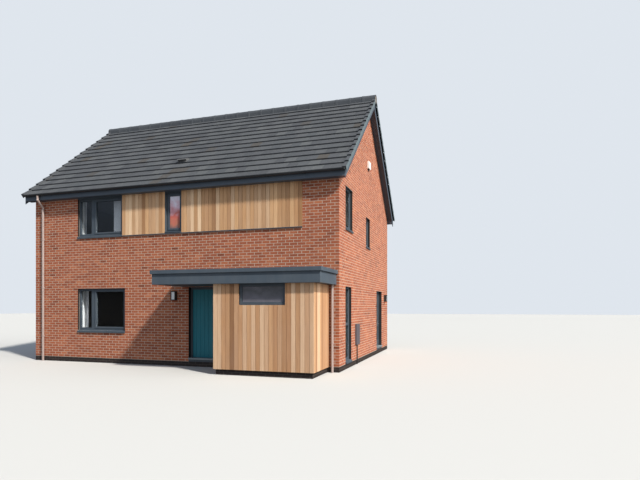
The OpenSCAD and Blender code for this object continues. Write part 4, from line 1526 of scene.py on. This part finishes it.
    def build(self) -> None:
        """Makes the tiles of both slopes, the ridge and the pale strips under the eaves tiles, which paint
        their lit edge.
        """
        for side in ("front", "rear"):
            mesh = COPIES.lay(self.template(), self.lay_slope(side == "rear"))
            piece = put_on(mesh, f"{side}_slope_tiles", Finishes.TILE, slot="roof_tile", smooth=40)
            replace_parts(piece, f"{side}_tiles")
        self.build_ridge()
        self.build_eaves_highlights()
        dress(Finishes.ROOF_TIMBER, "front_roof", "rear_roof")
        dress(Finishes.VENT, "roof_vent", bevel=0.006)
        dress(Finishes.VERGE, "verge_caps")

    def build_eaves_highlights(self) -> None:
        """Makes the pale strip under the edge of the lowest course on both slopes: a painted highlight for
        the lit tile edge.
        """
        bm = bmesh.new()
        edge = self.point(0, 0, self.tail)
        levels = (edge.z - self.edge_h, edge.z - self.edge_gap)
        strip = Box.of((self.left, self.right), (edge.y, edge.y + self.edge_d), levels)
        for turn in (0, math.pi):
            block(bm, strip, Matrix.Rotation(turn, 4, "Z"))
        put_on(bm, "eaves_tile_edges", Finishes.TILE_EDGE, slot="roof_tile")

    def build_ridge(self) -> None:
        """Makes the ridge tiles and the mortar plates in their two open ends."""
        lo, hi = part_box("ridge_tiles")
        number = round((hi.x - lo.x) / self.ridge_l)
        pitch = (hi.x - lo.x) / number
        axis = hi.z - self.ridge_r
        copies = [
            Copy(Vector((lo.x + i * pitch, 0, axis)), (pitch / self.ridge_l, 1, 1),
                 (self.dice.uniform(-self.roll, self.roll), 0, 0), self.dice.random())
            for i in range(number)
        ]
        mesh = COPIES.lay(self.ridge_template(), copies)
        piece = put_on(mesh, "ridge_cap_tiles", Finishes.RIDGE, slot="roof_tile", smooth=40)
        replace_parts(piece, "ridge_tiles")
        bm = bmesh.new()
        inner = self.ridge_r - self.ridge_wall
        for x in (lo.x + self.plug, hi.x - self.plug):
            place = Matrix.Translation((x, 0, axis)) @ Matrix.Rotation(math.pi / 2, 4, "Y")
            bmesh.ops.create_cone(bm, cap_ends=True, segments=32, radius1=inner, radius2=inner,
                                  depth=self.plug, matrix=place)
        put_on(bm, "ridge_mortar", Finishes.BEDDING, slot="roof_tile")


@dataclass
class Cladding:
    """Upright timber boards on the porch and on the upper storey."""

    board_w: float = 0.115
    joint: float = 0.004
    thick: float = 0.022
    arris: float = 0.0025
    least: float = 0.02
    play: float = 1e-4
    # How far the membrane starts above the boards' foot and ends before the wall
    under: float = 0.01
    skin_gap: float = 0.002
    # Sill under the upper window, and its opening's lining: thickness, set-back and hold on the frame
    sill: float = 0.03
    lining: float = 0.006
    inset: float = 0.001
    overlap: float = 0.004
    seed: int = 5

    def template(self) -> BMesh:
        """A board a metre wide and high: its face towards -y, its back on y = 0.

        Returns:
            The template.
        """
        bm = bmesh.new()
        block(bm, Box.of((-0.5, 0.5), (-self.thick, 0), (-0.5, 0.5)))
        bmesh.ops.delete(bm, geom=[f for f in bm.faces if f.normal.y > 0.5], context="FACES_ONLY")
        for vert in bm.verts:
            if vert.co.y < -self.thick / 2:
                vert.co.x *= 1 - 2 * self.arris / self.board_w
        return bm

    def boards(self, face: WallFace, area: Rect, holes: Sequence[Rect], dice: random.Random) -> list[Copy]:
        """Copies of the board for part of a face.

        Args:
            face: Face that the boards' backs lie on.
            area: Where the boards stand.
            holes: Openings through them.
            dice: Source of their tones.

        Returns:
            The copies.
        """
        number = max(1, round((area.right - area.left) / self.board_w))
        pitch = (area.right - area.left) / number
        copies = []
        for i in range(number):
            start, tone = area.left + i * pitch, dice.random()
            end = start + pitch
            edges = [edge for hole in holes for edge in (hole.left, hole.right) if start < edge < end]
            cuts = sorted({start, end, *edges})
            for a, b in zip(cuts, cuts[1:]):
                over = [h for h in holes if h.left - self.play <= a and b <= h.right + self.play]
                parts = [(area.low, area.high)]
                if over:
                    parts = [(area.low, over[0].low), (over[0].high, area.high)]
                left = a + (self.joint / 2 if a == start else 0)
                right = b - (self.joint / 2 if b == end else 0)
                for low, high in parts:
                    if high - low > self.least and right - left > self.joint:
                        at = face.at((left + right) / 2, 0, (low + high) / 2)
                        copies.append(Copy(at, (right - left, 1, high - low), (0, 0, face.turn), tone))
        return copies

    def clad(self, copies: Sequence[Copy], backing: Sequence[Box], name: str, finish: Finishes,
             node: str) -> None:
        """Makes boards, with the membrane that shows dark between them.

        Args:
            copies: The boards.
            backing: Where the membrane lies.
            name: Name of the piece.
            finish: Finish of the boards.
            node: Construction node that the piece replaces.
        """
        bm = bmesh.new()
        bm.from_mesh(COPIES.lay(self.template(), copies))
        # Near-black membrane behind the joints: painted shade between the boards
        for box in backing:
            block(bm, box, number=1)
        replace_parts(put_on(bm, name, finish, Finishes.GASKET, slot="timber_boards"), node)

    def build_upper(self) -> None:
        """Makes the boards beside and round the upper window, and the trim that lines its opening."""
        front = SHELL.front
        box = solids("upper_cladding")[0]
        local = box.seen_from(front)
        frames = [frame_box.seen_from(front) for frame_box in solids("front_window_frames")]
        joinery = next(w for w in frames if w.lo.y > 0 and w.lo.x > local.lo.x and w.hi.x < local.hi.x)
        window = Rect(joinery.lo.x, joinery.hi.x, joinery.lo.z - self.sill, local.hi.z)
        back = WallFace("upper_boards", front.at(0, local.lo.y + self.thick, 0), 0)
        copies = self.boards(back, Rect.of(local), [window], random.Random(self.seed))
        offset = box.lo.x - local.lo.x
        skin = [
            Box.of(ends, (box.lo.y + self.thick, box.hi.y - self.skin_gap), (box.lo.z + self.under, box.hi.z))
            for ends in ((box.lo.x, offset + window.left), (offset + window.right, box.hi.x))
        ]
        self.clad(copies, skin, "upper_boards", Finishes.CLADDING, "upper_cladding")
        self.build_lining(joinery, local)

    def build_lining(self, joinery: Box, boards: Box) -> None:
        """Makes the dark trim that lines the opening in the upper boards.

        Args:
            joinery: The window's frame, in the front face's space.
            boards: The boards, in the same space.
        """
        bm = bmesh.new()
        left, right, low, head = joinery.lo.x, joinery.hi.x, joinery.lo.z, joinery.hi.z
        near, far, top = boards.lo.y + self.inset, joinery.lo.y + self.overlap, boards.hi.z
        for x, y, z in (
            ((left, left + self.lining), (near, far), (low, top)),
            ((right - self.lining, right), (near, far), (low, top)),
            ((left, right), (near, 0), (top - self.lining, top)),
            ((left, right), (-self.overlap, 0), (head - self.lining, top)),
            ((left, right), (0, far), (head - self.lining, head)),
        ):
            block(bm, Box.of(x, y, z), SHELL.front.to_world)
        put_on(bm, "upper_window_lining", Finishes.FRAME, slot="frame_grey")

    def build_porch(self) -> None:
        """Makes the boards on the porch's three sides."""
        box = solids("porch_cladding")[0]
        wall = solids("porch_side_walls")[0]
        window = next(b for b in solids("front_window_frames") if SHELL.in_porch(b))
        hole = Rect.of(window.seen_from(SHELL.front))
        hole.high = box.hi.z
        dice = random.Random(self.seed + 1)
        back, depth = box.lo.y + self.thick, -SHELL.half_d
        outer_left, outer_right = box.lo.x + self.thick, box.hi.x - self.thick
        front = WallFace("porch_boards", Vector((-SHELL.half_w, back, 0)), 0)
        copies = self.boards(front, Rect.of(box.seen_from(SHELL.front)), [hole], dice)
        sides = (
            (outer_right, math.pi / 2, (back, depth)),
            (outer_left, -math.pi / 2, (-depth, -back)),
        )
        for x, turn, ends in sides:
            side = WallFace("porch_side", Vector((x, 0, 0)), turn)
            copies += self.boards(side, Rect(*ends, box.lo.z, box.hi.z), [], dice)
        left, right = (SHELL.front.corner.x + x for x in (hole.left, hole.right))
        tuck, whole = wall.lo.x - box.lo.x, (box.lo.z + self.under, box.hi.z)
        behind, beside = (back, wall.lo.y), (wall.lo.y, depth)
        skin = [Box.of(x, y, z) for x, y, z in (
            ((outer_left, left), behind, whole),
            ((right, outer_right), behind, whole),
            ((left, right), behind, (whole[0], hole.low)),
            ((outer_left, box.lo.x + tuck), beside, whole),
            ((box.hi.x - tuck, outer_right), beside, whole),
        )]
        self.clad(copies, skin, "porch_boards", Finishes.PORCH_BOARDS, "porch_cladding")

    def build(self) -> None:
        """Makes all the boards."""
        self.build_upper()
        self.build_porch()
        dress(Finishes.ROOFLINE, "cladding_drip", bevel=0.002)


@dataclass
class Glazing:
    """Beads and gaskets round the panes, and the finishes of frames, glass and sills."""

    bead: float = 0.006
    gasket: float = 0.004
    step: float = 0.010
    thickest: float = 0.1

    @staticmethod
    def ring(bm: BMesh, pane: Box, face: WallFace, edges: Span, proud: float, number: int) -> None:
        """Adds a flat frame round a pane.

        Args:
            bm: Shape to add it to.
            pane: The pane, in the face's space.
            face: The wall face.
            edges: Distances of the ring's outer and inner edge inside the pane's edge.
            proud: Height of the ring in front of the pane.
            number: Material number of its faces.
        """
        outer, inner = edges
        x0, x1, z0, z1 = pane.lo.x, pane.hi.x, pane.lo.z, pane.hi.z
        across, high = (x0 + inner, x1 - inner), (z0 + outer, z1 - outer)
        for x, z in (
            ((x0 + outer, x0 + inner), high),
            ((x1 - inner, x1 - outer), high),
            (across, (z0 + outer, z0 + inner)),
            (across, (z1 - inner, z1 - outer)),
        ):
            block(bm, Box.of(x, (pane.lo.y - proud, pane.lo.y), z), face.to_world, number)

    def face_of(self, box: Box) -> WallFace:
        """The wall face that a pane lies in: the one that it is thin across and least deep in."""
        flat = [face for face in SHELL.faces if box.seen_from(face).size.y < self.thickest]
        return min(flat, key=lambda face: abs(box.seen_from(face).middle.y))

    @staticmethod
    def front_panes() -> None:
        """Makes the front panes, those in the upper boards and in the porch with patterned glass."""
        bm = bmesh.new()
        boards = solids("upper_cladding")[0]
        for box in solids("front_window_glass"):
            in_boards = boards.lo.x < box.lo.x and box.hi.x < boards.hi.x and box.lo.z > boards.lo.z
            block(bm, box, number=1 if in_boards else 2 if SHELL.in_porch(box) else 0)
        finishes = (Finishes.GLASS, Finishes.FROSTED, Finishes.PRIVACY)
        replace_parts(put_on(bm, "front_panes", *finishes, slot="window_glass"), "front_window_glass")

    def build(self) -> None:
        """Makes the beads and dresses the frames, panes and sills."""
        bm = bmesh.new()
        for box in solids("front_window_glass", "gable_window_glass", "rear_window_glass"):
            face = self.face_of(box)
            pane = box.seen_from(face)
            self.ring(bm, pane, face, (0, self.bead), self.step, 0)
            self.ring(bm, pane, face, (self.bead, self.bead + self.gasket), self.step / 3, 1)
        put_on(bm, "glazing_beads", Finishes.FRAME, Finishes.GASKET, slot="frame_grey")
        self.front_panes()
        dress(Finishes.GLASS, "gable_window_glass", "rear_window_glass", "side_door_glass")
        dress(Finishes.FRAME, "front_window_frames", "gable_window_frames", "rear_window_frames",
              "door_frames", "window_sills", bevel=0.004)


@dataclass
class Curtains:
    """Gathered curtains that hang from the poles inside the front windows.

    drawn holds how far the left and the right edge of each one lies from its solid's.
    """

    folds_per_m: float = 17.0
    depth: float = 0.013
    thick: float = 0.0016
    inset: float = 0.012
    steps: int = 14
    rows: int = 12
    # How far the folds wander and ripple, their swing sideways, and their share of it at the top
    wander: float = 0.5
    ripple: float = 0.22
    sideways: float = 0.25
    top_swing: float = 0.65
    drawn: tuple[tuple[str, Span], ...] = (
        ("lower_left_curtain", (-0.12, -0.19)),
        ("upper_left_curtain", (-0.12, -0.26)),
        ("upper_right_curtain", (-0.36, 0.0)),
    )

    def make(self, name: str, box: Box) -> Object:
        """Makes one curtain.

        Args:
            name: Name of the piece.
            box: Where it hangs.

        Returns:
            The curtain.
        """
        folds = max(3, round(box.size.x * self.folds_per_m))
        bm = bmesh.new()
        bmesh.ops.create_grid(bm, x_segments=folds * self.steps, y_segments=self.rows, size=0.5)
        for vert in bm.verts:
            u, v = vert.co.x + 0.5, vert.co.y + 0.5
            phase = u * folds * math.tau + self.wander * math.sin(2.1 * v + 5 * u)
            swing = self.depth * (self.top_swing + (1 - self.top_swing) * (1 - v))
            wave = math.sin(phase) + self.ripple * math.sin(2.3 * phase + 1.3 * v)
            along = u * (box.size.x - 2 * self.inset) + self.sideways * swing * math.cos(phase)
            vert.co = Vector((
                box.lo.x + self.inset + along, box.middle.y + wave * swing, box.lo.z + v * box.size.z,
            ))
        levels = [vert.co.z for vert in bm.verts]
        width = sum(f.calc_area() for f in bm.faces) / (max(levels) - min(levels))
        obj = put_on(bm, name, Finishes.CLOTH, slot="curtain_cloth", smooth=60)
        obj.modifiers.new("cloth", "SOLIDIFY").thickness = self.thick
        return obj

    def build(self) -> None:
        """Makes the curtains, the first of them in place of the construction node."""
        boxes = sorted(solids("curtains"), key=lambda b: (round(b.lo.z, 2), b.lo.x))
        made = []
        for box, (name, (left, right)) in zip(boxes, self.drawn):
            box.lo.x += left
            box.hi.x += right
            made.append(self.make(name, box))
        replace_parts(made[0], "curtains")
        dress(Finishes.STEEL, "curtain_poles")


@dataclass
class Fittings:
    """Finishes of the smaller construction nodes, and a dark block under the alarm box that paints its
    shadow.

    The dark block's start and its reach out of the wall are shares of the alarm box's sizes.
    """

    shadow_start: float = 0.1
    shadow_reach: float = 0.6
    shadow_h: float = 0.06

    def build(self) -> None:
        """Dresses roofline, canopy, doors, pipes, boxes and floors."""
        dress(Finishes.ROOFLINE, "fascias", "bargeboards", "eaves_soffits", "verge_soffits", bevel=0.002)
        dress(Finishes.GUTTER, "gutters")
        dress(Finishes.PIPE, "downpipes")
        dress(Finishes.CANOPY, "canopy_fascia", bevel=0.004)
        dress(Finishes.CANOPY, "canopy_roof")
        dress(Finishes.DOOR, "front_door", bevel=0.0015)
        dress(Finishes.FRAME, "side_door", bevel=0.003)
        dress(Finishes.THRESHOLD, "door_thresholds", bevel=0.003)
        dress(Finishes.STEEL, "front_door_handle", "side_door_handle")
        dress(Finishes.METER, "meter_box", bevel=0.006)
        dress(Finishes.GASKET, "meter_pipe")
        dress(Finishes.LAMP, "wall_lights", bevel=0.004)
        dress(Finishes.LENS, "light_lenses", bevel=0.004)
        dress(Finishes.ALARM, "alarm_box", bevel=0.01, segments=3)
        dress(Finishes.FLOOR, "ground_floor", "first_floor")
        dress(Finishes.WALL, "loft_ceiling")
        self.build_alarm_shadow()

    def build_alarm_shadow(self) -> None:
        """Makes the dark block under the alarm box: a painted shadow."""
        box = Box(*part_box("alarm_box")).seen_from(SHELL.right)
        across = (box.lo.x + self.shadow_start * box.size.x, box.middle.x)
        bm = bmesh.new()
        painted_shadow = Box.of(across, (self.shadow_reach * box.lo.y, 0), (box.lo.z - self.shadow_h, box.lo.z))
        block(bm, painted_shadow, SHELL.right.to_world)
        put_on(bm, "alarm_beacon", Finishes.LAMP)


@dataclass
class Studio:
    """Camera, lights and floor."""

    place: Vector = field(default_factory=lambda: Vector((8.208, -15.718, 1.704)))
    turn: float = math.radians(17.366)
    lens: float = 27.56
    sensor: float = 36.0
    shift_y: float = 0.1029
    near: float = 0.1
    far: float = 500.0
    sun_from: Vector = field(default_factory=lambda: Vector((0.612, -0.338, 0.715)))
    sun_power: float = 4.8
    sun_size: float = math.radians(4)
    fill_from: Vector = field(default_factory=lambda: Vector((1.0, -0.05, 0.35)))
    fill_power: float = 1.9
    fill_size: float = math.radians(60)
    warmth: Color = (1.0, 0.95, 0.88)
    backdrop: Color = (0.74, 0.79, 0.85)
    sky: Color = (0.28, 0.35, 0.46)
    horizon: Color = (0.52, 0.57, 0.64)
    near_ground: Color = (0.32, 0.31, 0.30)
    dark: Color = (0.03, 0.03, 0.03)
    ground: Color = (0.55, 0.55, 0.53)
    ground_rough: float = 0.9
    floor_size: float = 90.0
    horizon_band: Span = (-0.1, 0.05)
    sky_band: Span = (0.2, 0.7)
    mirror_band: Span = (0.06, 0.2)
    front_band: Span = (0.4, -0.2)
    front_share: Span = (0.1, 1.0)

    def build(self) -> None:
        """Makes the camera, the lights and the floor."""
        bpy.context.scene.view_settings.view_transform = "Standard"
        data = bpy.data.cameras.new("camera")
        data.lens, data.sensor_width, data.shift_y = self.lens, self.sensor, self.shift_y
        data.clip_start, data.clip_end = self.near, self.far
        camera = bpy.data.objects.new("camera", data)
        camera.location = self.place
        camera.rotation_euler = Euler((math.pi / 2, 0, self.turn))
        bpy.context.scene.collection.objects.link(camera)
        bpy.context.scene.camera = camera
        self.add_lamp("key", self.sun_from, self.sun_power, self.sun_size)
        self.add_lamp("fill", self.fill_from, self.fill_power, self.fill_size)
        self.build_surround()
        self.build_floor()

    def add_lamp(self, name: str, towards: Vector, power: float, size: float) -> None:
        """Adds a distant lamp.

        Args:
            name: Name of the lamp.
            towards: Direction that its light comes from.
            power: Its strength.
            size: Its apparent size, which softens the shadows.
        """
        lamp = bpy.data.lights.new(name, "SUN")
        lamp.energy, lamp.angle, lamp.color = power, size, self.warmth
        obj = bpy.data.objects.new(name, lamp)
        obj.rotation_euler = towards.to_track_quat("Z", "Y").to_euler()
        bpy.context.scene.collection.objects.link(obj)

    def build_surround(self) -> None:
        """Makes the plain backdrop, the soft light and what the glass reflects."""
        world = bpy.context.scene.world = bpy.data.worlds.new("studio")
        world.use_nodes = True
        world.node_tree.nodes.clear()
        nodes = Nodes(world.node_tree, place="Generated")
        up = nodes.axis("Z")
        low = nodes.blend(nodes.spread(up, *self.horizon_band), self.near_ground, self.horizon)
        soft = nodes.blend(nodes.spread(up, *self.sky_band), low, self.sky)
        ahead = nodes.spread(nodes.axis("Y"), *self.front_band, *self.front_share)
        shown = nodes.maths("MULTIPLY", nodes.spread(up, *self.mirror_band), ahead)
        mirrored = nodes.blend(shown, self.dark, self.sky)
        rays = nodes.add("ShaderNodeLightPath").outputs
        in_glass = nodes.maths("MAXIMUM", rays["Is Glossy Ray"], rays["Is Transmission Ray"])
        direct = nodes.maths("LESS_THAN", rays["Diffuse Depth"], 0.5)
        color = nodes.blend(nodes.maths("MULTIPLY", in_glass, direct), soft, mirrored)
        color = nodes.blend(rays["Is Camera Ray"], color, self.backdrop)
        surface = nodes.add("ShaderNodeBackground", {"Color": color}).outputs["Background"]
        nodes.add("ShaderNodeOutputWorld", {"Surface": surface})

    def build_floor(self) -> None:
        """Makes the plain pale floor, which only the camera and the shadows meet."""
        bm = bmesh.new()
        bmesh.ops.create_grid(bm, x_segments=1, y_segments=1, size=self.floor_size)
        mesh = bpy.data.meshes.new("floor")
        bm.to_mesh(mesh)
        bm.free()
        floor = bpy.data.objects.new("floor", mesh)
        bpy.context.scene.collection.objects.link(floor)
        material = bpy.data.materials.new("floor")
        material.use_nodes = True
        shader = material.node_tree.nodes["Principled BSDF"]
        shader.inputs["Base Color"].default_value = (*self.ground, 1)
        shader.inputs["Roughness"].default_value = self.ground_rough
        mesh.materials.append(material)
        floor.visible_diffuse = floor.visible_glossy = floor.visible_transmission = False


def main() -> None:
    """Dresses the house and sets up the studio."""
    logging.basicConfig(level=logging.INFO, format="%(message)s")
    for part in (Studio(), Brickwork(), RoofCovering(), Cladding(), Glazing(), Curtains(), Fittings()):
        part.build()


if __name__ == "__main__":
    main()
